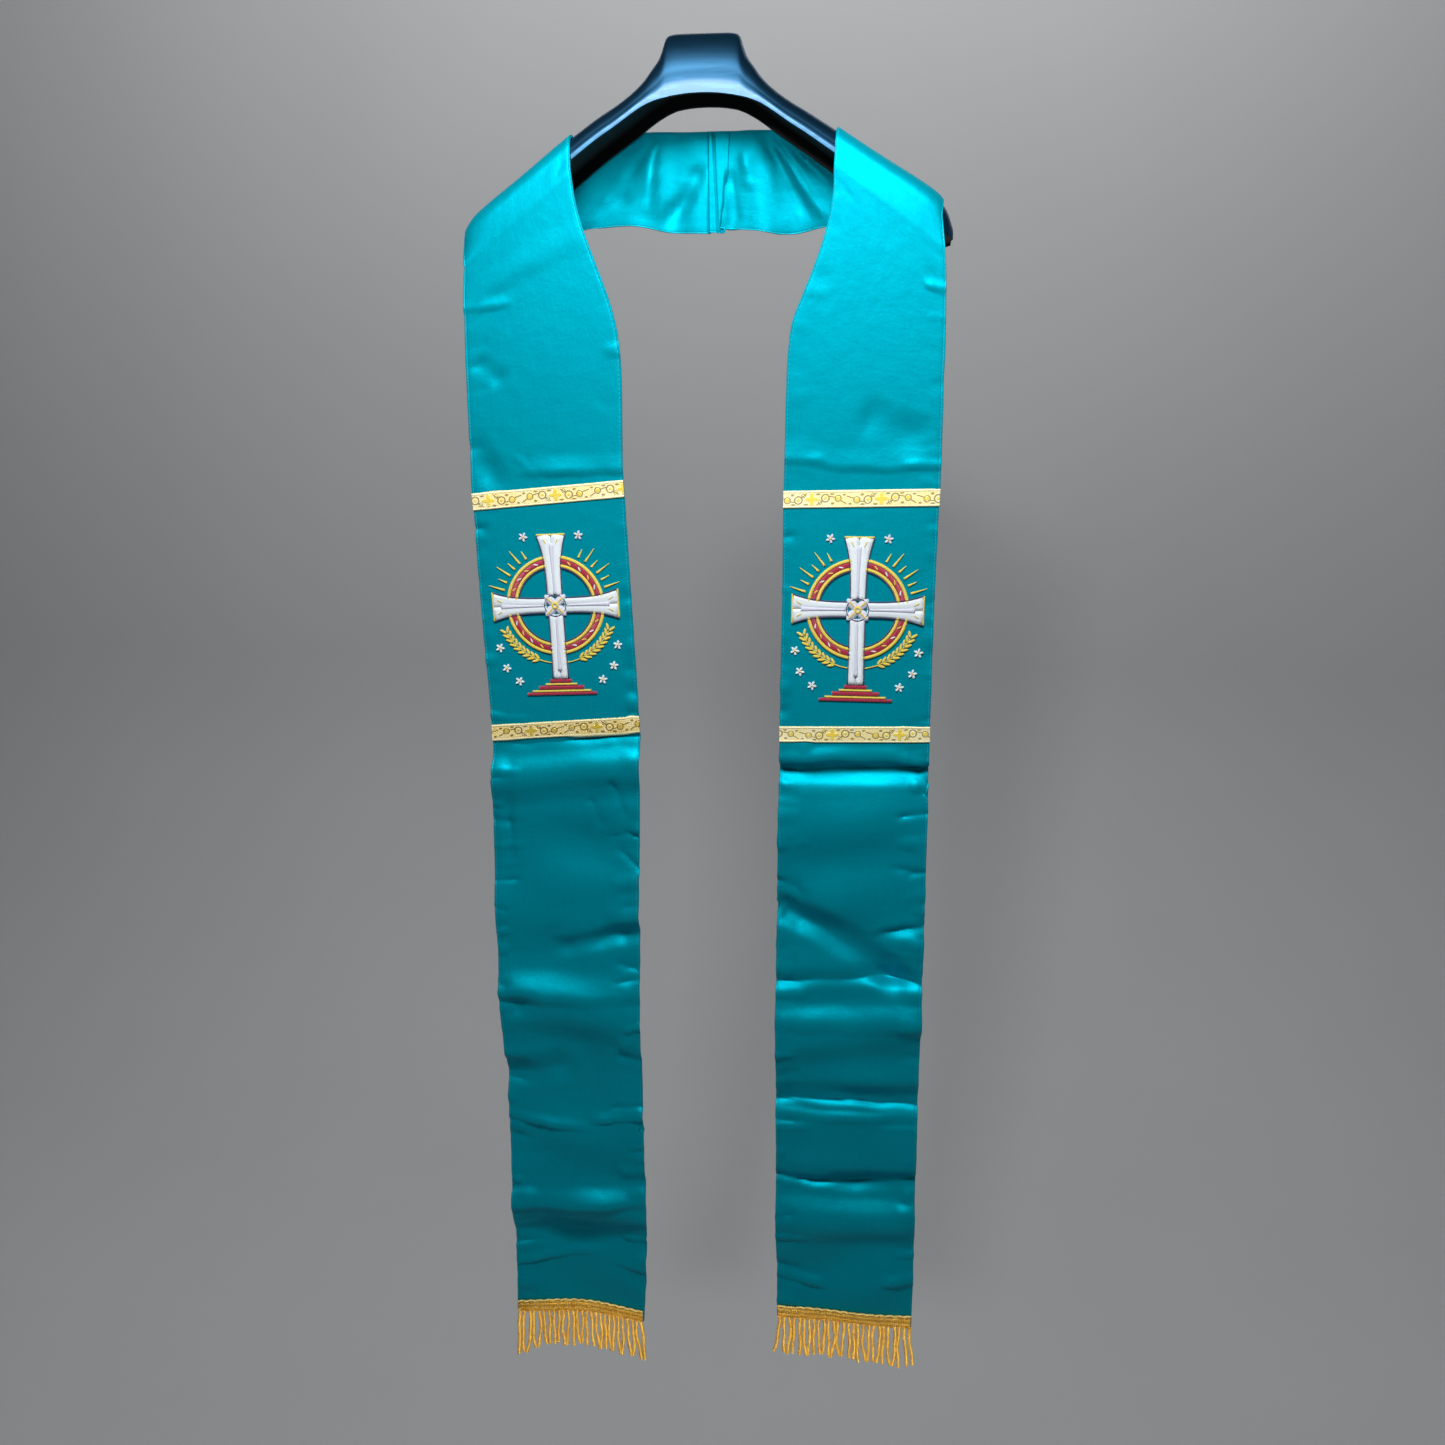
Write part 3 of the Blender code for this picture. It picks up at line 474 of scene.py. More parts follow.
def front_points(side, drop, shares):
    """A section of a hanging band."""
    rows = FRONT[side]
    x = mix(read(rows, "inner_x", drop), read(rows, "outer_x", drop), shares)
    z = mix(read(rows, "inner_z", drop), read(rows, "outer_z", drop), shares)
    y = np.full_like(shares, FRONT_PLANE)
    for fold in FOLDS[side]:
        place = fold.drop + fold.slope * (shares - 0.5)
        fade = 1 - ease((shares - fold.end) / FOLD_FADE) if fold.end < 1 else 1.0
        y = y - fold.rise * hump(drop - place, fold.reach) * fade
    inner, middle, outer = HEM_BOW[side]
    bow = mix(mix(inner, middle, shares), mix(middle, outer, shares), shares)
    y = y + bow * ease((drop - HEM_BOW_START) / (rows[-1].drop - HEM_BOW_START))
    return np.stack([x * SIDES[side], y, z], axis=-1)


class Band:
    """One half of the stole as a smooth surface, from the centre back seam to its hem."""

    def __init__(self, side):
        self.side = side
        self.sign = SIDES[side]
        self.rows = [(back_points, step) for step in np.linspace(0, BACK[-1].step, BACK_SECTIONS)]
        self.rows += [(over_points, place) for place in np.linspace(0, OVER[-1].place, ARM_SECTIONS)]
        first = len(self.rows)
        top, hem = FRONT[side][0].drop, FRONT[side][-1].drop
        drops = np.linspace(top, hem, int((hem - top) / SECTION_STEP))
        self.rows += [(front_points, drop) for drop in drops]
        middle = self.sections(np.array([0.5]))[:, 0]
        lengths = np.linalg.norm(np.diff(middle, axis=0), axis=1)
        along = np.concatenate([[0.0], np.cumsum(lengths)])
        self.runs = along - along[first] + top
        self.runs[first:] = drops
        self.start, self.hem = self.runs[0], self.runs[-1]
        self.puckers = self.edge_puckers()

    def sections(self, shares):
        return np.stack([points(self.side, value, shares) for points, value in self.rows])

    def edge_puckers(self):
        """Short creases that run in from both edges, uneven in place, length and rise."""
        chance = random.Random(PUCKER_SEED[self.side])
        creases = []
        for edge, inward in ((0.0, 1), (1.0, -1)):
            run = self.start + PUCKER_SPACING
            while run < self.hem - PUCKER_SPACING:
                growth = ease((run - UPPER_TRIM[self.side]) / PUCKER_GROWTH)
                length = PUCKER_LENGTH * chance.uniform(*PUCKER_LENGTHS) / BAND_WIDTH
                rise = PUCKER_RISE * mix(PUCKER_FAINT, 1.0, growth)
                rise *= chance.choice((-1, 1)) * chance.uniform(*PUCKER_RISES)
                reach = PUCKER_REACH * chance.uniform(*PUCKER_REACHES)
                end_run = run + chance.uniform(-PUCKER_SLANT, PUCKER_SLANT)
                share = edge - inward * PUCKER_OUTSIDE * length
                end_share = edge + inward * length
                creases.append(Crease(run, share, end_run, end_share, rise, reach, reach, 1.0, 0.0))
                run += PUCKER_SPACING * chance.uniform(*PUCKER_GAPS)
        return creases

    def rise(self, runs, shares):
        """How far the creases lift the cloth, at each run and share."""
        run, share = np.meshgrid(runs, shares, indexing="ij")
        across = share * BAND_WIDTH
        total = np.zeros_like(run)
        for crease in CREASES[self.side] + self.puckers:
            start = np.array([crease.share * BAND_WIDTH, crease.run])
            end = np.array([crease.end_share * BAND_WIDTH, crease.end_run])
            length = np.linalg.norm(end - start)
            direction = (end - start) / length
            u, v = across - start[0], run - start[1]
            t = (u * direction[0] + v * direction[1]) / length
            s = -u * direction[1] + v * direction[0] - crease.bow * 4 * t * (1 - t)
            turn = TURN_BY_RUN * crease.run + TURN_BY_SHARE * crease.share
            ripple = 1 + RIPPLE_SHARE * np.sin(WANDER_RIPPLE * t + 2 * turn)
            s += CREASE_WANDER * length * np.sin(WANDER_WAVE * t + turn) * ripple
            uneven = 1 + CREASE_UNEVEN * np.sin(UNEVEN_WAVE * t + 3 * turn)
            x = np.clip(np.abs(s) / np.where(s < 0, crease.above, crease.below), 0, 1)
            fade = ease(np.minimum(t, 1 - t) / CREASE_FADE)
            total += crease.rise * (1 - x) ** 2 * (1 + 2 * crease.soft * x) * fade * uneven
        slack = SLACK_RISE * ease((run - LOWER_TRIM[self.side] - SLACK_START) / SLACK_GROWTH)
        for wave in SLACK_WAVES:
            total += slack * np.sin(wave.along * run + wave.across * share + wave.phase * self.sign)
        return total * self.calm(run, share)

    def calm(self, run, share):
        """How freely the cloth creases: the trims and the embroidery hold it flat."""
        result = np.ones_like(run)
        upper, lower = UPPER_TRIM[self.side], LOWER_TRIM[self.side]
        for top in (upper, lower):
            result *= 1 - TRIM_HOLD * hump(run - top - TRIM_HEIGHT / 2, TRIM_HEIGHT)
        middle = (upper + TRIM_HEIGHT + lower) / 2
        inside = 1 - ease((np.abs(run - middle) - EMBLEM_HOLD) / EMBLEM_HOLD_FADE)
        inside *= 1 - ease((np.abs(share - 0.5) - EMBLEM_HOLD_SHARE) / EMBLEM_HOLD_SHARE_FADE)
        return result * (1 - inside)

    def points(self, runs, shares, offset):
        """Points on the creased cloth at an offset from the hanger's skin."""
        runs, shares = np.asarray(runs, dtype=float), np.asarray(shares, dtype=float)
        base = smooth_between(self.runs, self.sections(shares), runs)
        base = base + self.outward(base, runs) * self.rise(runs, shares)[..., None]
        normals = self.outward(base, runs)
        return base + normals * np.broadcast_to(offset, base.shape[:2])[..., None]

    def outward(self, grid, runs):
        """The directions straight out of the cloth; the two halves share one at their seam."""
        along = np.gradient(grid, axis=0)
        if runs[0] <= self.start:
            along[0] = (self.sign, 0.0, 0.0)
        normals = np.cross(along, np.gradient(grid, axis=1)) * self.sign
        return normals / np.linalg.norm(normals, axis=-1, keepdims=True)


BANDS = {side: Band(side) for side in SIDES}


def cloth_shares(steps):
    """Shares across the cloth, close together at both edges for the rolled edge and its seam."""
    edge = list(EDGE_SHARES)
    middle = np.linspace(edge[-1], 1 - edge[-1], steps + 1)[1:-1]
    return np.array(edge + list(middle) + [1 - share for share in reversed(edge)])


def placed(name, data):
    """An object in the scene that holds a mesh, a curve, a lamp or the camera."""
    holder = bpy.data.objects.new(name, data)
    bpy.context.scene.collection.objects.link(holder)
    return holder


def modified_mesh(source):
    """What an object's modifiers make of it, as a plain mesh."""
    bpy.context.view_layer.update()
    evaluated = source.evaluated_get(bpy.context.evaluated_depsgraph_get())
    return bpy.data.meshes.new_from_object(evaluated)


def mesh_object(name, points, faces, materials):
    """A mesh piece in the scene, with its faces turned outwards."""
    mesh = bpy.data.meshes.new(name)
    mesh.from_pydata([tuple(point) for point in points], [], [tuple(face) for face in faces])
    build = bmesh.new()
    build.from_mesh(mesh)
    bmesh.ops.recalc_face_normals(build, faces=build.faces)
    build.to_mesh(mesh)
    build.free()
    mesh.shade_smooth()
    for material in materials:
        mesh.materials.append(material)
    return placed(name, mesh)


def set_place(piece, name, values):
    """Stores a place on the cloth or the thread with each point, for the materials to read."""
    attribute = piece.data.attributes.new(name, "FLOAT_VECTOR", "POINT")
    attribute.data.foreach_set("vector", np.asarray(values, dtype=np.float32).ravel())


def cloth_places(across, along, number):
    """The place of each point of a grid: how far across, how far along and a number of its own."""
    along, across = np.meshgrid(along, across, indexing="ij")
    return np.stack([across, along, np.full_like(along, number)], axis=-1)


def shell(name, outer, inner, places, material, attribute="cloth_place"):
    """A closed wall between two grids of points."""
    rows, columns = outer.shape[:2]
    count = rows * columns
    index = np.arange(count).reshape(rows, columns)
    quads = np.stack([index[:-1, :-1], index[1:, :-1], index[1:, 1:], index[:-1, 1:]], axis=-1)
    quads = quads.reshape(-1, 4)
    border = list(index[0, :]) + list(index[1:, -1]) + list(index[-1, -2::-1]) + list(index[-2:0:-1, 0])
    rim = [(a, b, b + count, a + count) for a, b in zip(border, border[1:] + border[:1])]
    faces = list(quads) + list(quads[:, ::-1] + count) + rim
    points = np.concatenate([outer.reshape(-1, 3), inner.reshape(-1, 3)])
    piece = mesh_object(name, points, faces, [material])
    set_place(piece, attribute, np.concatenate([places.reshape(-1, 3)] * 2))
    return piece


def rolled(shares, thickness):
    """How far a wall's skin stands from its middle, rounded off at both edges."""
    inset = np.minimum(shares, 1 - shares) * BAND_WIDTH
    x = np.clip(1 - inset / EDGE_ROUND, 0, 1)
    groove = STITCH_GROOVE * hump(inset - STITCH_INSET, STITCH_GROOVE_REACH)
    return thickness / 2 * np.sqrt(np.maximum(1 - x * x, EDGE_END)) - groove


def cloth_wall(name, band, runs, shares, inside, thickness, material):
    """A wall of cloth over a stretch of a half, between two offsets from the hanger's skin."""
    half = rolled(shares, thickness)[None, :]
    middle = inside + thickness / 2
    outer = band.points(runs, shares, middle + half)
    inner = band.points(runs, shares, middle - half)
    return shell(name, outer, inner, cloth_places(shares * BAND_WIDTH, runs, band.sign), material)


class Value:
    """A socket in a node tree that takes part in plain sums."""

    def __init__(self, tree, socket):
        self.tree = tree
        self.socket = socket

    def _sum(self, operation, *terms):
        return self.tree.add("ShaderNodeMath", {"operation": operation}, dict(enumerate(terms)))

    def __add__(self, other):
        return self._sum("ADD", self, other)

    def __sub__(self, other):
        return self._sum("SUBTRACT", self, other)

    def __rsub__(self, other):
        return self._sum("SUBTRACT", other, self)

    def __mul__(self, other):
        return self._sum("MULTIPLY", self, other)

    def __truediv__(self, other):
        return self._sum("DIVIDE", self, other)

    def __pow__(self, power):
        return self._sum("POWER", self, power)

    __radd__ = __add__
    __rmul__ = __mul__

    def sine(self):
        return self._sum("SINE", self)

    def size(self):
        return self._sum("ABSOLUTE", self)

    def repeat(self, length):
        """The value within a repeat of this length, measured from the repeat's middle."""
        return self._sum("WRAP", self, length / 2, -length / 2)

    def below(self, limit, soft):
        """1 where the value is under a limit, fading to 0 over a soft edge above it."""
        settings = {"interpolation_type": "SMOOTHSTEP"}
        ends = {"Value": self, "From Min": limit, "From Max": limit + soft, "To Min": 1.0, "To Max": 0.0}
        return self.tree.add("MapRange", settings, ends)

    def most(self, other):
        return self._sum("MAXIMUM", self, other)


class Tree:
    """A node tree, with one way to add any node."""

    PREFIX = "ShaderNode"

    def __init__(self, tree):
        self.tree = tree

    def add(self, kind, settings=None, inputs=None, output=0):
        """Adds a node: its settings first, then its sockets' values or links. Gives one output."""
        node = self.tree.nodes.new(kind if "Node" in kind else self.PREFIX + kind)
        for name, value in (settings or {}).items():
            if name == "stops":
                ramp = node.color_ramp
                while len(ramp.elements) < len(value):
                    ramp.elements.new(0.5)
                for element, (place, colour) in zip(ramp.elements, value):
                    element.position = place
                    element.color = (*colour, 1.0)
            else:
                setattr(node, name, value)
        for name, value in (inputs or {}).items():
            socket = node.inputs[name]
            if isinstance(value, Value):
                self.tree.links.new(value.socket, socket)
            elif socket.type == "RGBA":
                socket.default_value = (*value, 1.0)
            else:
                socket.default_value = value
        return Value(self, node.outputs[output])


class Finish(Tree):
    """A material for one finish, with the places and patterns that the finishes share."""

    def __init__(self, name):
        self.material = bpy.data.materials.new(name)
        self.material.use_nodes = True
        super().__init__(self.material.node_tree)
        self.shader = self.tree.nodes["Principled BSDF"]

    def place(self, name):
        """The stored place on a piece, as three numbers."""
        vector = self.add("Attribute", {"attribute_name": name}, output="Vector")
        split = self.add("SeparateXYZ", inputs={0: vector})
        outputs = split.socket.node.outputs
        return vector, [Value(self, outputs[n]) for n in range(3)]

    def object_place(self):
        return self.add("TexCoord", output="Object")

    def noise(self, vector, scale, detail=2.0):
        return self.add("TexNoise", None, {"Vector": vector, "Scale": scale, "Detail": detail})

    def stretched(self, vector, scale):
        """The same place with each direction scaled by its own amount."""
        return self.add("Mapping", None, {"Vector": vector, "Scale": scale})

    def blend(self, share, first, second):
        inputs = {"Factor": share, 6: first, 7: second}
        return self.add("Mix", {"data_type": "RGBA"}, inputs, output=2)

    def tint(self, colour, amount):
        """The colour made lighter or darker by an amount around 1."""
        grey = self.add("CombineColor", None, {0: amount, 1: amount, 2: amount})
        inputs = {"Factor": 1.0, 6: colour, 7: grey}
        return self.add("Mix", {"data_type": "RGBA", "blend_type": "MULTIPLY"}, inputs, output=2)

    def bump(self, height, depth):
        return self.add("Bump", None, {"Height": height, "Distance": depth, "Strength": 1.0})

    def set(self, **values):
        """Sets the shader's sockets: numbers and colours directly, the rest as links."""
        for name, value in values.items():
            socket = self.shader.inputs[name.replace("_", " ").title().replace("Ior", "IOR")]
            if isinstance(value, Value):
                self.tree.links.new(value.socket, socket)
            elif socket.type == "RGBA" and len(value) == 3:
                socket.default_value = (*value, 1.0)
            else:
                socket.default_value = value
        return self.material


class Shape(Tree):
    """A Geometry Nodes tree with named inputs, which turns one object into a plain mesh."""

    PREFIX = "GeometryNode"

    def __init__(self, name, **sizes):
        super().__init__(bpy.data.node_groups.new(name, "GeometryNodeTree"))
        interface = self.tree.interface
        interface.new_socket("Path", in_out="INPUT", socket_type="NodeSocketGeometry")
        interface.new_socket("Shape", in_out="OUTPUT", socket_type="NodeSocketGeometry")
        self.sizes = sizes
        for size in sizes:
            interface.new_socket(size, in_out="INPUT", socket_type="NodeSocketFloat")
        self.group_input = self.tree.nodes.new("NodeGroupInput")
        self.path = Value(self, self.group_input.outputs["Path"])

    def size(self, name):
        return Value(self, self.group_input.outputs[name])

    def join(self, *parts):
        joined = self.add("JoinGeometry")
        for part in reversed(parts):
            self.tree.links.new(part.socket, joined.socket.node.inputs[0])
        return joined

    def finish(self, result, source, name, material):
        """Ends the tree, runs it on the source object and gives the result as a plain mesh piece."""
        real = self.add("RealizeInstances", None, {0: result})
        painted = self.add("SetMaterial", None, {0: real, "Material": material})
        group_output = self.tree.nodes.new("NodeGroupOutput")
        self.tree.links.new(painted.socket, group_output.inputs[0])
        modifier = source.modifiers.new(name, "NODES")
        modifier.node_group = self.tree
        for item in self.tree.interface.items_tree:
            if item.item_type == "SOCKET" and item.name in self.sizes:
                modifier[item.identifier] = self.sizes[item.name]
        mesh = modified_mesh(source)
        mesh.name = name
        source.modifiers.remove(modifier)
        bpy.data.objects.remove(source)
        return placed(name, mesh)


def path_object(name, lines):
    """An object that holds several lines of points and radii, for a shape tree to follow."""
    curve = bpy.data.curves.new(name, "CURVE")
    curve.dimensions = "3D"
    for points in lines:
        spline = curve.splines.new("POLY")
        spline.points.add(len(points) - 1)
        spline.points.foreach_set("co", np.column_stack([points[:, :3], np.ones(len(points))]).ravel())
        spline.points.foreach_set("radius", points[:, 3])
    return placed(name, curve)


# The length of the trim's woven repeat, and its parts in millimetres from the repeat's middle: petals
# and leaves as middle, half width and half height, scrolls as middle and radius, stems as two ends
TRIM_REPEAT = 0.058
TRIM_PETALS = [
    (-2.6, 0.0, 3.0, 1.5), (2.6, 0.0, 3.0, 1.5), (0.0, 2.6, 1.5, 2.7), (0.0, -2.6, 1.5, 2.7),
    (22.0, 0.6, 1.7, 1.7), (-20.5, -0.8, 1.7, 1.7), (11.3, 1.0, 1.2, 1.2), (-11.3, -0.6, 1.2, 1.2),
]
TRIM_SCROLLS = [
    (11.3, 1.0, 3.1), (-11.3, -0.6, 3.1), (22.0, 0.6, 2.5),
    (-20.5, -0.8, 2.5), (7.0, -2.6, 1.5), (-7.0, 2.9, 1.5),
]
TRIM_LEAVES = [
    (5.2, 4.2, 2.0, 0.9), (-5.0, -4.2, 2.0, 0.9), (16.8, 4.3, 1.9, 0.8), (-15.6, -4.3, 1.9, 0.8),
    (17.4, -3.4, 1.5, 1.1), (-16.2, 3.6, 1.5, 1.1), (27.0, 3.6, 1.4, 0.9), (-26.0, -3.8, 1.4, 0.9),
]
STEM_HALF_WIDTH = 0.40
TRIM_STEMS = [
    (4.6, -4.3, 8.8, -1.4), (14.2, 2.6, 19.4, 1.6), (24.3, -1.2, 28.6, -3.6),
    (-4.6, 4.4, -8.6, 1.6), (-14.2, -2.2, -18.2, -1.8), (-22.8, 0.6, -28.4, 2.2),
]

# How gilt each trim looks, and where its repeat starts
GILT = {
    "brocade_left_upper": 0.45,
    "brocade_left_lower": 0.95,
    "brocade_right_upper": 0.15,
    "brocade_right_lower": 0.35,
}
TRIM_SHIFT = {
    "brocade_left_upper": 0.0,
    "brocade_left_lower": 0.021,
    "brocade_right_upper": 0.034,
    "brocade_right_lower": 0.012,
}

# How far apart the threads lie in the satin, the trims' ribs and the embroidery, and its rows
WEAVE_PITCH = 0.0007
RIB_PITCH = 0.0009
THREAD_PITCH = 0.00062
STITCH_ROW = 0.0042

# Colours of the finishes
TEAL = (0.000, 0.390, 0.510)
TEAL_SHADE = (0.000, 0.325, 0.440)
TEAL_THREAD = (0.020, 0.420, 0.520)
IVORY = (0.780, 0.760, 0.480)
YELLOW_GOLD = (0.900, 0.700, 0.080)
OLIVE = (0.220, 0.140, 0.020)
SPARKLE_BROWN_GOLD = (0.520, 0.300, 0.040)
BULLION = (1.000, 0.530, 0.025)
# A painted highlight for the gold threads' crowns, and painted shade for the hollows of the braid and its
# backing
PAINTED_HIGHLIGHT_GOLD = (1.000, 0.860, 0.330)
BULLION_PAINTED_SHADE = (0.260, 0.080, 0.004)
WHITE_THREAD = (0.740, 0.840, 0.850)
BRAID_PALE = (1.000, 0.780, 0.240)
BACKING = (0.160, 0.060, 0.008)
BACKING_PAINTED_SHADE = (0.050, 0.015, 0.000)
CRIMSON = (0.420, 0.010, 0.050)
CRIMSON_SHADE = (0.150, 0.000, 0.020)
NAVY = (0.015, 0.020, 0.110)
NAVY_SHADE = (0.000, 0.000, 0.020)
LILAC = (0.560, 0.540, 0.700)
# The hanger is black plastic: its navy blue front is a painted reflection of blue light, and the channel's
# black is the plastic's own colour
HANGER_PAINTED_REFLECTION_BLUE = (0.035, 0.185, 0.370)
HANGER_BLACK = (0.006, 0.006, 0.007)


def satin(name, colour, shade):
    """Woven satin: fine floats, faint streaks along the cloth and a soft sheen of its own colour."""
    finish = Finish(name)
    vector, (across, along, _) = finish.place("cloth_place")
    streaks = finish.noise(finish.stretched(vector, (700.0, 45.0, 1.0)), 1.0)
    clouds = finish.noise(vector, 17.0)
    slubs = finish.noise(finish.stretched(vector, (60.0, 1500.0, 1.0)), 1.0)
    base = finish.tint(finish.blend(clouds, colour, shade), 0.90 + 0.12 * streaks + 0.08 * slubs)
    weave = (across * (FULL_TURN / WEAVE_PITCH)).sine() * (along * (FULL_TURN / WEAVE_PITCH)).sine()
    puffs = finish.noise(vector, 75.0, 3.0)
    grain = finish.noise(vector, 520.0, 2.0)
    height = weave * 0.05 + puffs * 1.0 + streaks * 0.10 + grain * 0.16
    return finish.set(
        base_color=finish.tint(base, 0.90 + 0.20 * grain),
        roughness=0.42 + 0.08 * clouds,
        metallic=0.45,
        normal=finish.bump(height, 0.00035),
        specular_ior_level=0.40,
        specular_tint=(0.00, 0.80, 1.00),
        sheen_weight=0.20,
        sheen_roughness=0.35,
        sheen_tint=(0.00, 0.75, 0.95),
    )


def brocade(name):
    """Woven metallic trim: flowers, scrolls and stems between two bright selvedges."""
    finish = Finish(name)
    vector, (across, down, gilt) = finish.place("trim_place")
    x = (across * 1000).repeat(TRIM_REPEAT * 1000)
    y = down * -1000 + TRIM_HEIGHT * 500

    def spot(centre_x, centre_y, wide, high):
        """How far a place is from an oval's middle, in ovals."""
        u = (x - centre_x) / wide
        v = (y - centre_y) / high
        return (u * u + v * v) ** 0.5

    def stroke(from_x, from_y, to_x, to_y):
        """How far a place is from a straight stem, in half widths."""
        length = math.hypot(to_x - from_x, to_y - from_y)
        dx, dy = (to_x - from_x) / length, (to_y - from_y) / length
        off_line = ((x - from_x) * -dy + (y - from_y) * dx).size()
        past_ends = ((x - (from_x + to_x) / 2) * dx + (y - (from_y + to_y) / 2) * dy).size() - length / 2
        return off_line.most(past_ends) / STEM_HALF_WIDTH

    def ring(centre_x, centre_y, radius):
        return (spot(centre_x, centre_y, radius, radius) - 1).size().below(0.10, 0.14)

    def all_of(masks):
        """One mask that is as high as the highest of several."""
        whole = masks[0]
        for mask in masks[1:]:
            whole = whole.most(mask)
        return whole

    gold = all_of([spot(*petal).below(0.85, 0.3) for petal in TRIM_PETALS])
    scrolls = [ring(*scroll) for scroll in TRIM_SCROLLS]
    leaves = [spot(*leaf).below(0.7, 0.5) * 0.9 for leaf in TRIM_LEAVES]
    stems = [stroke(*stem).below(0.7, 0.8) for stem in TRIM_STEMS]
    dark = all_of(scrolls + leaves + stems)
    picks = finish.noise(finish.stretched(vector, (2600.0, 700.0, 1.0)), 1.0)
    wear = finish.noise(vector, 60.0, 3.0)
    dark = dark * wear.below(0.66, 0.12)
    edge = (y.size() - TRIM_HEIGHT * 500 + 1.0).size().below(0.35, 0.4)
    line = (y.size() - TRIM_HEIGHT * 500 + 1.9).size().below(0.12, 0.25) * picks.below(0.5, 0.1)
    woven = finish.blend(gold * 0.95, IVORY, YELLOW_GOLD)
    painted_sparkle = finish.noise(vector, 1500.0, 1.0)
    woven = finish.blend(wear.below(0.42, 0.2) * 0.30, woven, YELLOW_GOLD)
    # Painted sparkle: fine brown-gold specks stand in for glints of the metal threads, stronger on the more
    # gilt trims
    woven = finish.blend(painted_sparkle.below(0.46, 0.06) * (0.10 + gilt), woven, SPARKLE_BROWN_GOLD)
    woven = finish.blend(dark.most(line * 0.6) * (0.80 + 0.20 * gilt), woven, OLIVE)
    woven = finish.blend(edge * 0.7, woven, IVORY)
    ribs = (across * (FULL_TURN / RIB_PITCH)).sine()
    height = ribs * 0.15 + gold * 0.9 + dark * 0.6 + edge * 0.8 + picks * 0.3
    return finish.set(
        base_color=finish.tint(woven, 0.90 + 0.3 * picks),
        roughness=0.42 - 0.1 * gold,
        metallic=0.12 + 0.35 * gold.most(dark) * gilt,
        normal=finish.bump(height, 0.00022),
    )


def stitched(name, colour, shade):
    """Satin-stitch embroidery: lustrous threads laid side by side."""
    finish = Finish(name)
    vector, (across, along, _) = finish.place("thread_place")
    threads = (across * (FULL_TURN / THREAD_PITCH)).sine()
    uneven = finish.noise(finish.stretched(vector, (2400.0, 120.0, 1.0)), 1.0)
    rows = (along * (FULL_TURN / STITCH_ROW)).sine()
    base = finish.tint(finish.blend(uneven * 0.5, colour, shade), 0.92 + 0.06 * threads)
    return finish.set(
        base_color=base,
        roughness=0.34 + 0.16 * uneven,
        normal=finish.bump(threads * 0.7 + uneven * 0.8 + rows * 0.25, 0.00012),
        specular_ior_level=0.55,
        sheen_weight=0.25,
    )


def gold_thread(name, colour, shade, metallic):
    """Metal-wrapped thread with painted highlights of pale gold on its crowns and painted shade of dark
    brown in its hollows.
    """
    finish = Finish(name)
    place = finish.object_place()
    wraps = finish.noise(finish.stretched(place, (1.0, 1.0, 2.2)), 900.0, 1.0)
    patches = finish.noise(place, 90.0, 2.0)
    # Painted shade: the darker colour is blended in where the wrap noise is low
    base = finish.blend(wraps.below(0.37, 0.12) * 0.9, colour, shade)
    # Painted highlight: pale gold where the wrap noise is high
    base = finish.blend(1 - wraps.below(0.56, 0.07), base, PAINTED_HIGHLIGHT_GOLD)
    return finish.set(
        base_color=finish.tint(base, 0.8 + 0.5 * patches),
        roughness=0.22 + 0.20 * wraps,
        metallic=metallic,
        normal=finish.bump(wraps, 0.00035),
    )


def sewing_thread(name):
    finish = Finish(name)
    twist = finish.noise(finish.object_place(), 1600.0, 1.0)
    return finish.set(
        base_color=finish.tint(TEAL_THREAD, 0.7 + 0.6 * twist),
        roughness=0.5 + 0.1 * twist,
        normal=finish.bump(twist, 0.0001),
    )


def moulded_plastic(name, colour, roughness, metallic, coat):
    """Moulded plastic with a faint haze and a few scuffs."""
    finish = Finish(name)
    place = finish.object_place()
    haze = finish.noise(place, 22.0, 3.0)
    scuffs = finish.noise(finish.stretched(place, (30.0, 30.0, 260.0)), 1.0, 4.0)
    return finish.set(
        base_color=finish.tint(colour, 0.9 + 0.2 * haze),
        roughness=roughness + 0.03 * scuffs.below(0.45, 0.1),
        metallic=metallic,
        normal=finish.bump(haze, 0.00005),
        coat_weight=coat,
        coat_roughness=0.16,
    )


FINISHES = {
    "face": satin("satin_face", TEAL, TEAL_SHADE),
    "lining": satin("satin_lining", TEAL, TEAL_SHADE),
    "trim": brocade("gold_brocade"),
    "white": stitched("white_embroidery", WHITE_THREAD, LILAC),
    "gold": stitched("gold_embroidery", YELLOW_GOLD, OLIVE),
    "crimson": stitched("crimson_embroidery", CRIMSON, CRIMSON_SHADE),
    "navy": stitched("navy_embroidery", NAVY, NAVY_SHADE),
    "lilac": stitched("lilac_embroidery", LILAC, WHITE_THREAD),
    "braid": gold_thread("braid_thread", BULLION, BULLION_PAINTED_SHADE, 0.45),
    "braid_pale": gold_thread("braid_pale_thread", BRAID_PALE, BULLION_PAINTED_SHADE, 0.25),
    "braid_back": gold_thread("braid_backing", BACKING, BACKING_PAINTED_SHADE, 0.2),
    "stitch": sewing_thread("sewing_thread"),
    # the hanger's blue is a painted reflection on black plastic
    "hanger": moulded_plastic("hanger_plastic", HANGER_PAINTED_REFLECTION_BLUE, 0.36, 0.70, 0.25),
    "channel": moulded_plastic("hanger_channel_plastic", HANGER_BLACK, 0.60, 0.0, 0.0),
}

RUNS = {
    side: np.append(np.arange(band.start, band.hem, RUN_STEP), band.hem)
    for side, band in BANDS.items()
}


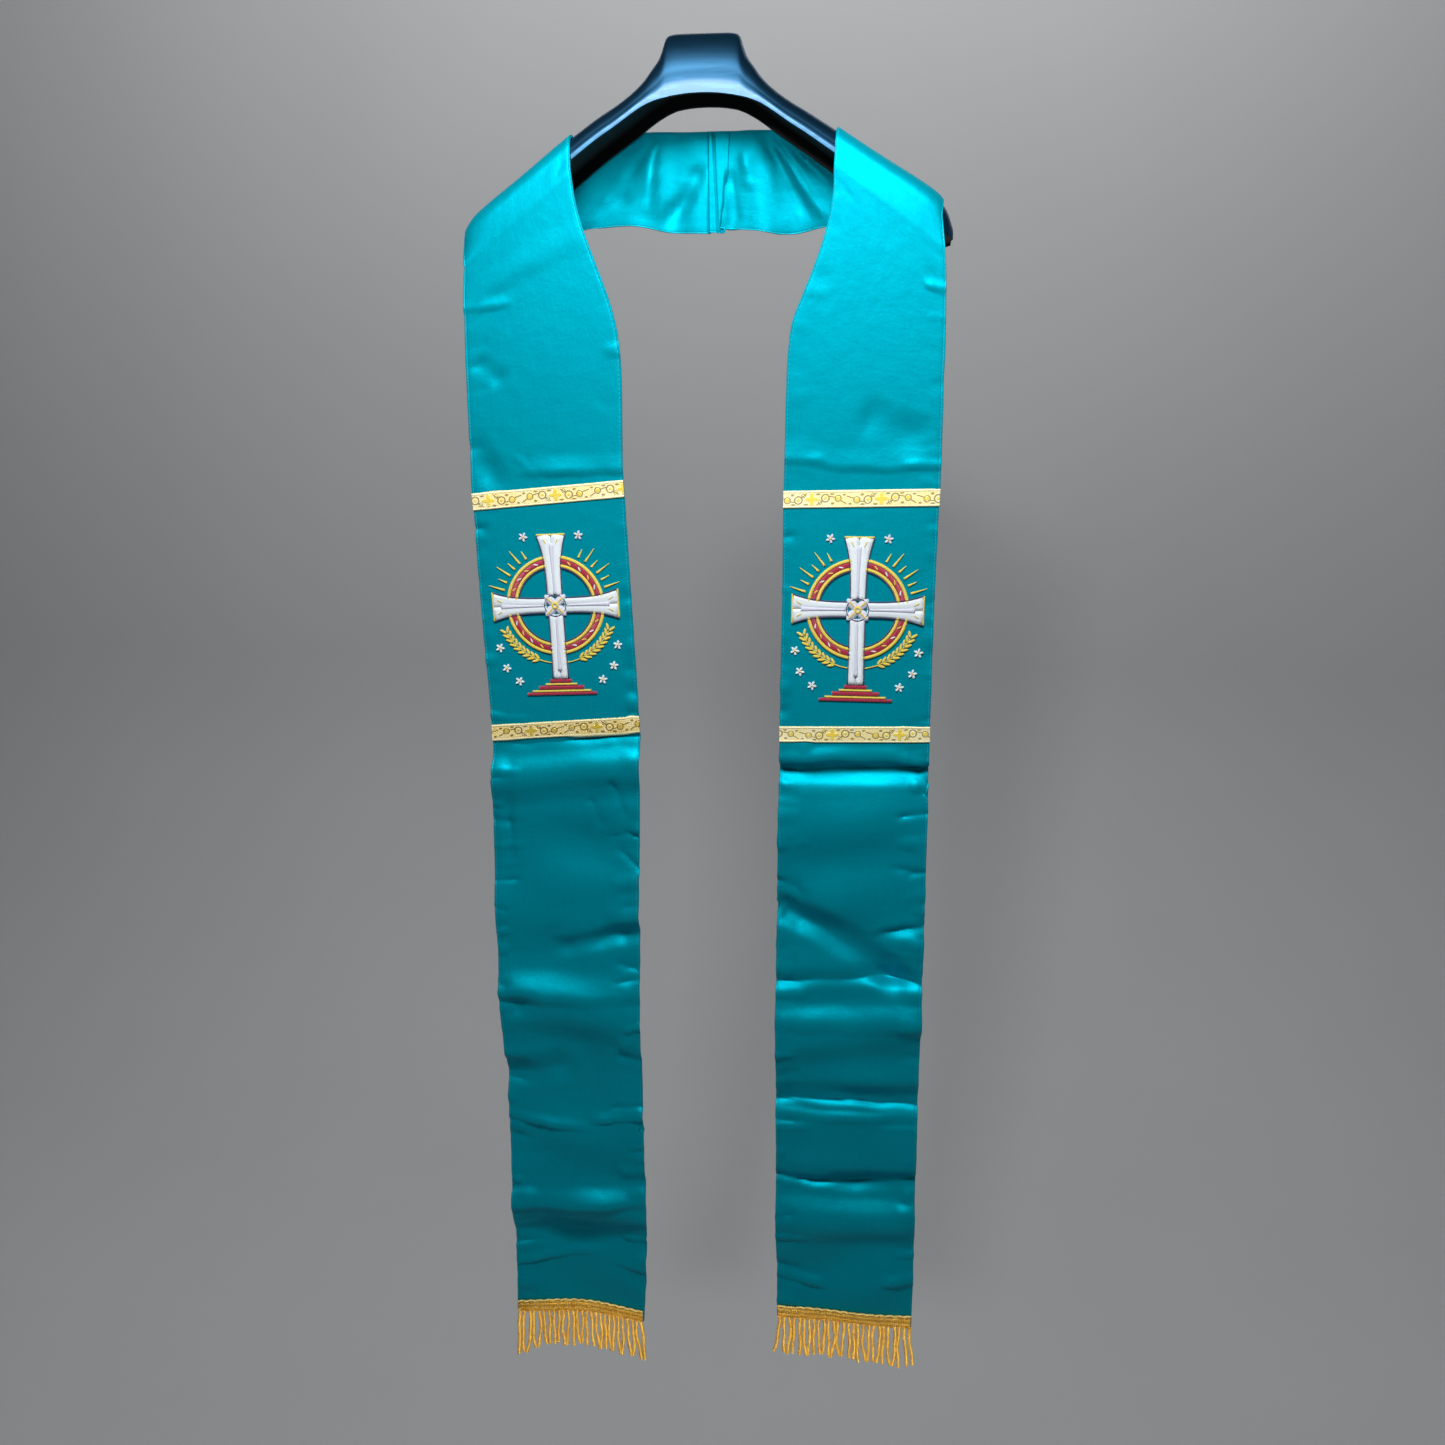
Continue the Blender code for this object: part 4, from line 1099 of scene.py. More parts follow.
def stole_half(side):
    """The face and the lining of one half, each a thin wall in one piece."""
    band = BANDS[side]
    shares = cloth_shares(SHARE_STEPS)
    face = cloth_wall("satin_face_" + side, band, RUNS[side], shares, FACE_INSIDE, CLOTH, FINISHES["face"])
    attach(face, "root")
    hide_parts("stole_face_" + side, "stole_shoulder_" + side)
    coarse = cloth_shares(SHARE_STEPS // 2)
    runs = np.append(RUNS[side][:-1:2], band.hem)
    lining = cloth_wall("satin_lining_" + side, band, runs, coarse, LIFT, LINING, FINISHES["lining"])
    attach(lining, "root")
    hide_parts("stole_lining_" + side)
    return face, lining


# Where the lap's sections lie, as shares of its width, and the number that its weave starts from
LAP_SHARES = np.array([0.0, 0.02, 0.06, 0.11, *np.linspace(0.16, 0.88, 19), 0.94, 0.98, 1.0])
LAP_NUMBER = 3.0


def centre_back_lap():
    """The left half's seam allowance, turned over the right half inside the neck."""
    band = BANDS["right"]
    shares = cloth_shares(SHARE_STEPS // 2)
    sections = []
    for edge_share in LAP_SHARES:
        edge = mix(-LAP_COVER, mix(LAP_WIDTH, LAP_FOOT_WIDTH, shares), edge_share)
        steps = edge / mix(BACK[1].inner_x, BACK[1].outer_x, shares)
        points = np.stack([back_points("right", step, shares)[n] for n, step in enumerate(steps)])
        points[:, 0] += np.minimum(edge, 0.0)
        points[:, 1] += LAP_GROOVE * hump(edge - mix(SEAM_TOP, SEAM_FOOT, shares), LAP_GROOVE_REACH)
        points[:, 2] -= LAP_FOOT_DROP * shares
        sections.append(points)
    base = np.stack(sections)
    runs = band.start + LAP_SHARES * LAP_WIDTH
    base = base + band.outward(base, runs) * band.rise(runs, shares)[..., None]
    out = band.outward(base, runs)
    half = rolled(shares, LINING)[None, :, None]
    middle = LIFT - SEAM_GAP - LINING / 2
    places = cloth_places(shares * BAND_WIDTH, runs, LAP_NUMBER)
    outer, inner = base + out * (middle + half), base + out * (middle - half)
    lap = shell("satin_lap", outer, inner, places, FINISHES["lining"])
    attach(lap, "root")
    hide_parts("centre_back_lap")
    return lap


# A trim's sections: close together at its rounded selvedges and even between them
SELVEDGE_INSETS = np.array([0.0, 0.0003, 0.0008, 0.0016, 0.0028])
SELVEDGE_ROUND = 0.0008
SELVEDGE_END = 0.03
TRIM_INSET = 0.0042
TRIM_SECTIONS = 6


def trim(side, place, top):
    """A length of brocade across a band, with a rounded selvedge along both sides."""
    name = f"brocade_{side}_{place}"
    band = BANDS[side]
    middle = np.linspace(TRIM_INSET, TRIM_HEIGHT - TRIM_INSET, TRIM_SECTIONS)
    downs = np.concatenate([SELVEDGE_INSETS, middle, TRIM_HEIGHT - SELVEDGE_INSETS[::-1]])
    shares = cloth_shares(SHARE_STEPS)
    edge = np.minimum(downs, TRIM_HEIGHT - downs)
    thin = np.clip(1 - edge / SELVEDGE_ROUND, 0, 1)
    half = (TRIM / 2 * np.sqrt(np.maximum(1 - thin * thin, SELVEDGE_END)))[:, None]
    centre = FACE_OUTSIDE + SEAM_GAP + TRIM / 2
    outer = band.points(top + downs, shares, centre + half)
    inner = band.points(top + downs, shares, centre - half)
    places = cloth_places(shares * BAND_WIDTH + TRIM_SHIFT[name], downs, GILT[name])
    piece = shell(name, outer, inner, places, FINISHES["trim"], "trim_place")
    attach(piece, "root")
    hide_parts(f"trim_{side}_{place}")
    return piece


# How far the cross reaches from its middle, as in the solids
EMBLEM_TOP = 0.0600
EMBLEM_SIDE = 0.0545
EMBLEM_FOOT = 0.0640
PAD_TURNS = np.sin(np.linspace(-math.pi / 2, math.pi / 2, 7))


def arc(radius, start, end, steps, centre=(0.0, 0.0)):
    """Points on an arc, between two angles in degrees."""
    angles = np.radians(np.linspace(start, end, steps))
    return np.column_stack([centre[0] + radius * np.cos(angles), centre[1] + radius * np.sin(angles)])


class Embroidery:
    """Padded satin-stitch shapes, gathered in one mesh that lies on a half's face."""

    COLOURS = ("white", "gold", "crimson", "navy", "lilac")

    def __init__(self):
        self.points, self.faces, self.slots, self.places = [], [], [], []

    def ribbon(self, colour, path, half, pad, base=0.0, closed=False):
        """A padded ribbon along a line, with a half width at each point; its threads run across."""
        path = np.asarray(path, dtype=float)
        half = np.broadcast_to(half, len(path))
        if closed:
            tangents = np.roll(path, -1, axis=0) - np.roll(path, 1, axis=0)
        else:
            tangents = np.gradient(path, axis=0)
        tangents = tangents / np.linalg.norm(tangents, axis=1, keepdims=True)
        steps = np.linalg.norm(np.diff(path, axis=0), axis=1)
        along = np.concatenate([[0.0], np.cumsum(steps)]) + 0.01 * len(self.slots)
        first = len(self.points)
        for (x, y), (dx, dy), width, place in zip(path, tangents, half, along):
            level = base + min(pad, width)
            for turn in (-1.0, *PAD_TURNS, 1.0):
                height = level * max(1 - turn ** 4, 0.0) ** 0.5
                self.points.append((x - dy * turn * width, y + dx * turn * width, height))
                self.places.append((place, turn * width, 0.0))
            self.points[-1] = (*self.points[-1][:2], 0.0)
        ring = len(PAD_TURNS) + 2
        count = len(path)
        for n in range(count if closed else count - 1):
            near = first + n * ring
            far = first + ((n + 1) % count) * ring
            for k in range(ring):
                after = (k + 1) % ring
                self.faces.append((near + k, far + k, far + after, near + after))
                self.slots.append(self.COLOURS.index(colour))
        if not closed:
            for end in (first, first + (count - 1) * ring):
                self.faces.append(tuple(range(end, end + ring)))
                self.slots.append(self.COLOURS.index(colour))

    def leaf(self, colour, middle, angle, length, width, pad, base=0.0):
        """A small pointed oval, such as a petal or a grain."""
        t = np.linspace(-1, 1, 8)
        turn = math.radians(angle)
        path = np.array(middle) + 0.5 * length * t[:, None] * np.array([math.cos(turn), math.sin(turn)])
        self.ribbon(colour, path, 0.5 * width * np.sqrt(np.maximum(1 - t * t, 0.02)), pad, base)


# In millimetres: the ring's bands by radius, half width, colour and pad, the foot's steps by drop,
# half length, half width and colour, and the middles of the blossoms on one side
EMBLEM_BANDS = [(41.6, 1.4, "gold", 1.0), (38.0, 2.3, "crimson", 0.7), (34.4, 1.4, "gold", 1.0),
                (32.4, 0.6, "navy", 0.6)]
EMBLEM_STEPS = [(66.3, 9.5, 1.7, "crimson"), (69.2, 14.0, 0.9, "gold"), (72.2, 20.0, 1.8, "crimson"),
                (75.2, 26.0, 0.9, "gold"), (77.6, 31.0, 1.3, "crimson")]
EMBLEM_BLOSSOMS = [(47.5, -54.0), (37.0, -66.0), (52.0, -36.0), (24.0, 59.0)]
EMBLEM_ARMS = [(0, EMBLEM_SIDE), (90, EMBLEM_TOP), (180, EMBLEM_SIDE), (270, EMBLEM_FOOT)]


def draw_emblem(work):
    """A flared cross on a banded ring, with rays, two ears of grain, blossoms and a stepped foot."""
    for radius, half, colour, pad in EMBLEM_BANDS:
        work.ribbon(colour, arc(radius * MM, 0, 357.5, 144), half * MM, pad * MM, 0.0004, closed=True)
    for n in range(24):
        angle = 15 * n + 7.5
        spot = arc(38.0 * MM, angle, angle, 1)[0]
        work.leaf("white" if n % 2 else "gold", spot, angle + 60, 4.6 * MM, 1.5 * MM, 0.5 * MM, 0.0010)
    for turn, reach in EMBLEM_ARMS:
        direction = np.array([math.cos(math.radians(turn)), math.sin(math.radians(turn))])
        aside = np.array([-direction[1], direction[0]])
        foot = turn == 270
        t = np.linspace(0, 1, 16)
        spine = mix(8.0 * MM, reach, t)
        flare = 6.2 * MM + (0.4 * MM if foot else 6.0 * MM) * t ** 3
        for sign in (-1, 1):
            half_spine = spine[:, None] * direction + (sign * flare / 2)[:, None] * aside
            work.ribbon("white", half_spine, flare / 2 - 0.1 * MM, 1.0 * MM, 0.0006)
            edge = spine[:, None] * direction + (sign * (flare + 0.3 * MM))[:, None] * aside
            work.ribbon("navy", edge, 0.5 * MM, 0.6 * MM, 0.0010)
        inner = mix(10.0 * MM, reach - 7.0 * MM, t)[:, None] * direction
        work.ribbon("lilac", inner, 1.0 * MM + 1.5 * MM * t ** 2, 0.7 * MM, 0.0015)
        if not foot:
            across = np.linspace(-1, 1, 12)[:, None]
            cap = (reach + 0.3 * MM) * direction + across * 12.4 * MM * aside
            work.ribbon("gold", cap, 0.8 * MM, 0.8 * MM, 0.0006)
            for sign in (-1, 1):
                curl = (reach - 5.5 * MM) * direction + sign * 5.2 * MM * aside
                work.leaf("gold", curl, turn + sign * 28, 5.5 * MM, 1.4 * MM, 0.5 * MM, 0.0016)
    for n in range(4):
        angle = 45 + 90 * n
        work.leaf("lilac", arc(6.0 * MM, angle, angle, 1)[0], angle, 13.0 * MM, 7.5 * MM, 0.9 * MM, 0.0012)
        work.leaf("gold", arc(6.8 * MM, angle, angle, 1)[0], angle, 7.5 * MM, 2.2 * MM, 0.6 * MM, 0.0020)
    work.ribbon("navy", arc(9.3 * MM, 0, 350, 36), 0.5 * MM, 0.5 * MM, 0.0016, closed=True)
    work.ribbon("gold", arc(2.2 * MM, 0, 330, 12), 1.3 * MM, 0.7 * MM, 0.0022, closed=True)
    across = np.linspace(-1, 1, 24)
    for drop, half_length, half, colour in EMBLEM_STEPS:
        path = np.column_stack([across * half_length * MM, np.full(24, -drop * MM)])
        work.ribbon(colour, path, half * MM, 0.9 * MM, 0.0004)
    for middle in (35, 145):
        for n in range(7):
            angle = middle + (n - 3) * 8.5
            inner, outer = 46.0 * MM, (60.0 if n % 2 else 54.0) * MM
            spine = np.linspace(inner, outer, 8)[:, None] * arc(1.0, angle, angle, 1)
            work.ribbon("gold", spine, np.linspace(1.1, 0.25, 8) * MM, 0.6 * MM, 0.0003)
    for side in (-1, 1):
        stem = arc(50.5 * MM, -84 if side > 0 else -96, -28 if side > 0 else -152, 30)
        work.ribbon("gold", stem, 0.45 * MM, 0.5 * MM, 0.0003)
        for n in range(9):
            angle = -66 + 5.2 * n
            for lean, radius in ((34, 52.6), (-34, 48.4)):
                spot = arc(radius * MM, angle, angle, 1)[0] * (side, 1)
                slant = angle + 90 - lean if side > 0 else 90 - angle + lean
                work.leaf("gold", spot, slant, 6.4 * MM, 2.4 * MM, 0.8 * MM, 0.0003)
        for x, y in EMBLEM_BLOSSOMS:
            middle = np.array([side * x, y]) * MM
            for n in range(5):
                angle = 72 * n + 9 * side
                spot = middle + arc(2.3 * MM, angle, angle, 1)[0]
                work.leaf("white" if y < 0 else "lilac", spot, angle, 3.6 * MM, 2.1 * MM, 0.6 * MM, 0.0004)
            work.leaf("gold", middle, 0, 1.8 * MM, 1.8 * MM, 0.6 * MM, 0.0010)


def emblem(side):
    """The embroidery between the trims of one band."""
    band = BANDS[side]
    work = Embroidery()
    draw_emblem(work)
    top = UPPER_TRIM[side] + TRIM_HEIGHT
    middle = (top + LOWER_TRIM[side]) / 2 - EMBLEM_RAISE
    spots = band.points([top, middle, LOWER_TRIM[side]], [0.49, 0.50, 0.51], FACE_OUTSIDE + SEAM_GAP)
    high, centre, low = (Vector(spot) for spot in spots[:, 1])
    up = (high - low).normalized()
    out = Vector((0.0, -1.0, 0.0))
    place = Matrix((up.cross(out), up, out)).transposed().to_4x4()
    place.translation = centre
    points = [place @ Vector(point) for point in work.points]
    materials = [FINISHES[colour] for colour in work.COLOURS]
    piece = mesh_object("embroidery_" + side, points, work.faces, materials)
    piece.data.polygons.foreach_set("material_index", work.slots)
    set_place(piece, "thread_place", work.places)
    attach(piece, "root")
    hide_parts("emblem_" + side)
    return piece


def tubes(name, lines, material, sides=6, plies=1, spread=0.0, turn_length=1.0):
    """Tubes along lines of points and radii, made by Geometry Nodes; several plies twist together."""
    shape = Shape(name, turn_rate=FULL_TURN / turn_length)
    length = shape.add("SplineParameter", output="Length")
    tilt = length * shape.size("turn_rate")
    tilted = shape.add("SetCurveTilt", None, {"Curve": shape.path, "Tilt": tilt})
    rings = []
    for n in range(plies):
        ring = shape.add("CurvePrimitiveCircle", None, {"Resolution": sides, "Radius": 1.0})
        angle = FULL_TURN * n / plies
        shift = (spread * math.cos(angle), spread * math.sin(angle), 0.0)
        rings.append(shape.add("Transform", None, {"Geometry": ring, "Translation": shift}))
    radius = shape.add("InputRadius")
    inputs = {"Curve": tilted, "Profile Curve": shape.join(*rings), "Scale": radius, "Fill Caps": True}
    tube = shape.add("CurveToMesh", None, inputs)
    smooth = shape.add("SetShadeSmooth", None, {"Geometry": tube, "Shade Smooth": True})
    return shape.finish(smooth, path_object(name + "_path", lines), name, material)


def joined(name, pieces):
    """Several pieces made one, keeping their materials."""
    first = pieces[0]
    with bpy.context.temp_override(active_object=first, selected_editable_objects=pieces):
        bpy.ops.object.join()
    first.name = name
    first.data.name = name
    return first


# The fringe: a braided header on a backing strip, with three-ply twisted strands
STRANDS = 27
STRAND_SHARE = 0.60
HEADER_HEIGHT = 0.0118
HEADER_MARGIN = 0.006
HEADER_BACKING = 0.0008
BAR_PITCH = 0.0017
SCALLOP = 0.0087
STRAND_RADIUS = 0.00112
STRAND_TURN = 0.0042
STRAND_SPREAD = 0.85
STRAND_STEP = 0.00055
STRAND_ROOT_RISE = 0.0005
STRAND_ROOT_LIFT = 0.0014
CORD_TURN = 0.0026
CORD_SPREAD = 0.8
FRINGE_SEED = {"left": 21, "right": 22}

# Strands that turn up into the next one hang as a pair whose ends meet
PAIR_CHANCE = 0.60
PAIR_CLOSE = 0.0014
PAIR_BULGE = 0.0011

# How unlike each other the strands are: lean and curl in metres, lengths as shares, and the splay
# of the outermost ones
STRAND_LEAN = 0.0020
STRAND_CURL = 0.0008
PAIR_LENGTHS = (0.93, 1.05)
MEMBER_LENGTHS = (0.985, 1.015)
STRAND_SPLAY = 0.004

# A strand's own sway to the side and to the front, and how uneven it is, with waves in radians
STRAND_LEAN_POWER = 1.4
STRAND_SWAY = 0.0004
SWAY_WAVE = 9
STRAND_FORWARD = 0.0010
STRAND_DRIFT = 0.0008
DRIFT_WAVE = 3.0
STRAND_UNEVEN = 0.06
STRAND_UNEVEN_WAVE = 20
STRAND_TIP = 0.985
STRAND_TIP_SHARE = 0.8

# The header's two rows of slanting bars, by top and height, and its cords, by drop and radius
HEADER_BARS = [(0.0024, 0.0036), (0.0070, 0.0042)]
BAR_SHARES = np.array([0.0, 0.15, 0.5, 0.85, 1.0])
BAR_RADII = 0.00076 * np.array([0.3, 0.85, 1.0, 0.85, 0.3])
BAR_LEAN = 0.0022
BAR_LIFT = 0.0004
CORD_LIFT = 0.0005
SCALLOP_LIFT = 0.0003
HEADER_CORDS = [(0.0018, 0.0005), (0.0065, 0.0005), (HEADER_HEIGHT - 0.0002, 0.0006)]
HEADER_EDGE = 0.0004
SCALLOP_DROP = 0.0006
SCALLOP_RISE = 0.0012
SCALLOP_RADIUS = 0.00055

# How long each strand hangs, as a share across the hem and a length in metres
FRINGE_ENDS = {
    "left": [(0.0, 0.0430), (0.10, 0.0440), (0.30, 0.0400), (0.45, 0.0385), (0.62, 0.0380), (0.74, 0.0400),
             (0.86, 0.0460), (0.95, 0.0505), (1.0, 0.0480)],
    "right": [(0.0, 0.0420), (0.30, 0.0395), (0.60, 0.0405), (0.80, 0.0440), (0.92, 0.0450), (1.0, 0.0420)],
}


def on_face(side, runs, shares, offset):
    """Points on the creased face of a band, raised by an offset, one for each run and share."""
    band = BANDS[side]
    order = np.argsort(shares)
    grid_runs = np.linspace(band.hem - 0.03, band.hem, 13)
    grid = band.points(grid_runs, np.asarray(shares)[order], FACE_OUTSIDE + offset)
    points = np.empty((len(shares), 3))
    for place, n in enumerate(order):
        points[n] = smooth_between(grid_runs, grid[:, place], np.array([runs[n]]))[0]
    return points


def with_radius(points, radius):
    return np.column_stack([points, np.broadcast_to(radius, len(points))])


def strand(root, length, lean, curl, chance):
    """The line of one hanging strand: it sways a little and keeps to the length it is given."""
    count = max(int(length / STRAND_STEP), 8)
    t = np.linspace(0, 1, count)
    phase = chance.uniform(0, 6.3)
    sway = curl * np.sin(math.pi * t) + STRAND_SWAY * np.sin(SWAY_WAVE * t + phase)
    x = lean * t ** STRAND_LEAN_POWER + sway
    drift = chance.uniform(-STRAND_DRIFT, STRAND_DRIFT)
    y = -STRAND_FORWARD * t + drift * np.sin(DRIFT_WAVE * t + phase)
    z = -length * t
    uneven = 1 - STRAND_UNEVEN * (1 - np.sin(STRAND_UNEVEN_WAVE * t + phase))
    radius = STRAND_RADIUS * uneven * np.where(t > STRAND_TIP, STRAND_TIP_SHARE, 1.0)
    return with_radius(np.column_stack([root[0] + x, root[1] + y, root[2] + z]), radius)


def fringe_strands(side):
    """The twisted strands that hang along a hem, singly and in pairs."""
    band = BANDS[side]
    chance = random.Random(FRINGE_SEED[side])
    pitch = (1 - 2 * HEADER_MARGIN) / (STRANDS - 1 + STRAND_SHARE)
    roots = np.array([HEADER_MARGIN + pitch * (n + STRAND_SHARE / 2) for n in range(STRANDS)])
    root_runs = np.full(STRANDS, band.hem - STRAND_ROOT_RISE)
    root_points = on_face(side, root_runs, roots, SEAM_GAP + STRAND_ROOT_LIFT)
    ends = FRINGE_ENDS[side]
    lengths = smooth_between([end[0] for end in ends], [end[1] for end in ends], roots)
    lines = []
    n = 0
    while n < STRANDS:
        pair = 2 if n + 1 < STRANDS and chance.random() < PAIR_CHANCE else 1
        lean = chance.uniform(-STRAND_LEAN, STRAND_LEAN)
        length = lengths[n] * chance.uniform(*PAIR_LENGTHS)
        for member in range(n, n + pair):
            splay = band.sign * STRAND_SPLAY * (2 * roots[member] - 1) ** 3
            inward = (n + 0.5 - member) * 2 * band.sign if pair == 2 else 0.0
            curl = chance.uniform(-STRAND_CURL, STRAND_CURL) - inward * PAIR_BULGE
            reach = length * chance.uniform(*MEMBER_LENGTHS)
            drift = lean + splay + inward * PAIR_CLOSE
            lines.append(strand(root_points[member], reach, drift, curl, chance))
        n += pair
    return tubes("strands_" + side, lines, FINISHES["braid"], 5, 3, STRAND_SPREAD, STRAND_TURN)


def fringe_header(side):
    """The braid that is sewn along a hem: backing, two rows of bars, cords and a scalloped edge."""
    band = BANDS[side]
    top = band.hem - HEADER_HEIGHT
    surface = SEAM_GAP + HEADER_BACKING
    shares = np.linspace(HEADER_MARGIN, 1 - HEADER_MARGIN, 60)
    downs = np.array([0.0, HEADER_EDGE, 0.004, 0.008, HEADER_HEIGHT - HEADER_EDGE, HEADER_HEIGHT])
    runs = top + downs
    outer = band.points(runs, shares, FACE_OUTSIDE + SEAM_GAP + HEADER_BACKING)
    inner = band.points(runs, shares, FACE_OUTSIDE + SEAM_GAP)
    backing = shell("backing_" + side, outer, inner, np.zeros_like(outer), FINISHES["braid_back"])
    count = int((1 - 2 * HEADER_MARGIN) * BAND_WIDTH / BAR_PITCH)
    bars = []
    for bar_top, tall in HEADER_BARS:
        for n in range(count):
            share = HEADER_MARGIN + (1 - 2 * HEADER_MARGIN) * (n + 0.5) / count
            bar_shares = share + np.linspace(-BAR_LEAN, BAR_LEAN, len(BAR_SHARES))
            points = on_face(side, top + bar_top + tall * BAR_SHARES, bar_shares, surface + BAR_LIFT)
            bars.append(with_radius(points, BAR_RADII))
    cords = []
    cord_shares = np.linspace(HEADER_MARGIN, 1 - HEADER_MARGIN, 120)
    for down, radius in HEADER_CORDS:
        points = on_face(side, np.full(120, top + down), cord_shares, surface + CORD_LIFT)
        cords.append(with_radius(points, radius))
    fine = np.linspace(HEADER_MARGIN, 1 - HEADER_MARGIN, 300)
    wave = np.abs(np.sin(math.pi * fine * BAND_WIDTH / SCALLOP))
    points = on_face(side, top + SCALLOP_DROP - SCALLOP_RISE * wave, fine, surface + SCALLOP_LIFT)
    scallops = [with_radius(points, SCALLOP_RADIUS)]
    return [
        backing,
        tubes("bars_" + side, bars, FINISHES["braid"], 6),
        tubes("cords_" + side, cords, FINISHES["braid"], 6, 2, CORD_SPREAD, CORD_TURN),
        tubes("scallops_" + side, scallops, FINISHES["braid_pale"], 6, 2, CORD_SPREAD, CORD_TURN),
    ]


def fringe(side):
    """The braid along a hem and the strands that hang from it."""
    piece = joined("bullion_fringe_" + side, [fringe_strands(side), *fringe_header(side)])
    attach(piece, "root")
    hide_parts("fringe_" + side)
    return piece


def top_stitching(side):
    """Running stitches along both long edges, on the face and on the lining."""
    band = BANDS[side]
    chance = random.Random(STITCH_SEED[side])
    shares = np.array([STITCH_INSET, BAND_WIDTH - STITCH_INSET]) / BAND_WIDTH
    fine = np.arange(band.start, band.hem, STITCH_LINE_STEP)
    lines = []
    for offset in (FACE_OUTSIDE - STITCH_GROOVE, LIFT + STITCH_GROOVE):
        lift = STITCH_LIFT if offset > LIFT + LINING else -STITCH_LIFT
        grid = band.points(fine, shares, offset + lift)
        for column in range(2):
            run = band.start + STITCH_START
            while run < band.hem - HEADER_HEIGHT - STITCH_END:
                spots = run + STITCH_SHARES * STITCH_LENGTH
                points = np.stack([np.interp(spots, fine, grid[:, column, k]) for k in range(3)], axis=-1)
                lines.append(with_radius(points, STITCH_RADII))
                run += STITCH_PITCH * chance.uniform(*STITCH_PITCHES)
    piece = tubes("top_stitching_" + side, lines, FINISHES["stitch"], 4)
    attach(piece, "root")
    return piece


# The hanger's channel, its hook hole and the bead along its front lower edge
NECK_HOLE_RADIUS = 0.0019
NECK_HOLE_DEPTH = 0.0140
NECK_HOLE_SIDES = 32
SHARP_EDGE = math.radians(50)
HANGER_WALL = 0.0035
HANGER_RECESS = 0.0100
HANGER_TIP_RECESS = 0.0015
HANGER_WALL_SHARE = 0.25
CHANNEL_CORNER = 0.0015
CHANNEL_RISES = (0.35, 0.75, 0.95)
BEAD_RISE = 0.0004
BEAD_PLACE = 0.015
BEAD_TURN = 0.05

# The rounded lower edge of the hanger's wall: shares of the wall inwards and of the softness up
EDGE_SOFT = 0.0006
EDGE_LINE = [(0.1, -0.3), (0.5, -0.45), (0.9, -0.3), (1.0, 0.0)]

# How the hanger is divided: finer round its lower edges, near the neck and at the tips
LOWER_TURNS = np.linspace(0, 0.12, 13)
HANGER_TURNS = np.concatenate([LOWER_TURNS, np.linspace(0.14, 0.86, 37), 1 - LOWER_TURNS[::-1]])
FINE_STEP = 0.0010
ARM_STEP = 0.0025
FINE_NECK = 0.060
FINE_TIP = 0.180
LAST_STEP = 0.199


def hanger_rings(places):
    """Sections of the hanger: a rounded top over a shallow channel that opens downwards."""
    grid_x, grid_turn = np.meshgrid(places, HANGER_TURNS, indexing="ij")
    skin = arm_points(grid_x, grid_turn)
    tip = ease((np.abs(places) - ARM[-4].x) / (ARM[-1].x - ARM[-4].x))
    recess = mix(HANGER_RECESS, HANGER_TIP_RECESS, tip)
    skin[:, :, 1] -= BEAD_RISE * hump(grid_turn - BEAD_PLACE, BEAD_TURN) * (1 - tip)[:, None]
    front, back = skin[:, 0], skin[:, -1]
    wall = np.minimum(HANGER_WALL, read(ARM, "half_depth", np.abs(places)) * HANGER_WALL_SHARE)
    line = [(share * wall, rise * EDGE_SOFT) for share, rise in EDGE_LINE]
    line += [(wall, rise * recess) for rise in CHANNEL_RISES]
    line.append((wall + CHANNEL_CORNER, recess))
    under = []
    for corner, inward in ((back, -1), (front, 1)):
        lip = []
        for aside, rise in line:
            spot = corner.copy()
            spot[:, 1] += inward * aside
            spot[:, 2] += rise
            lip.append(spot)
        under.append(lip)
    loop = [skin[:, n] for n in range(skin.shape[1])] + under[0]
    middle = mix(under[0][-1], under[1][-1], 0.5)
    loop += [middle] + under[1][::-1]
    return np.stack(loop, axis=1), skin.shape[1]


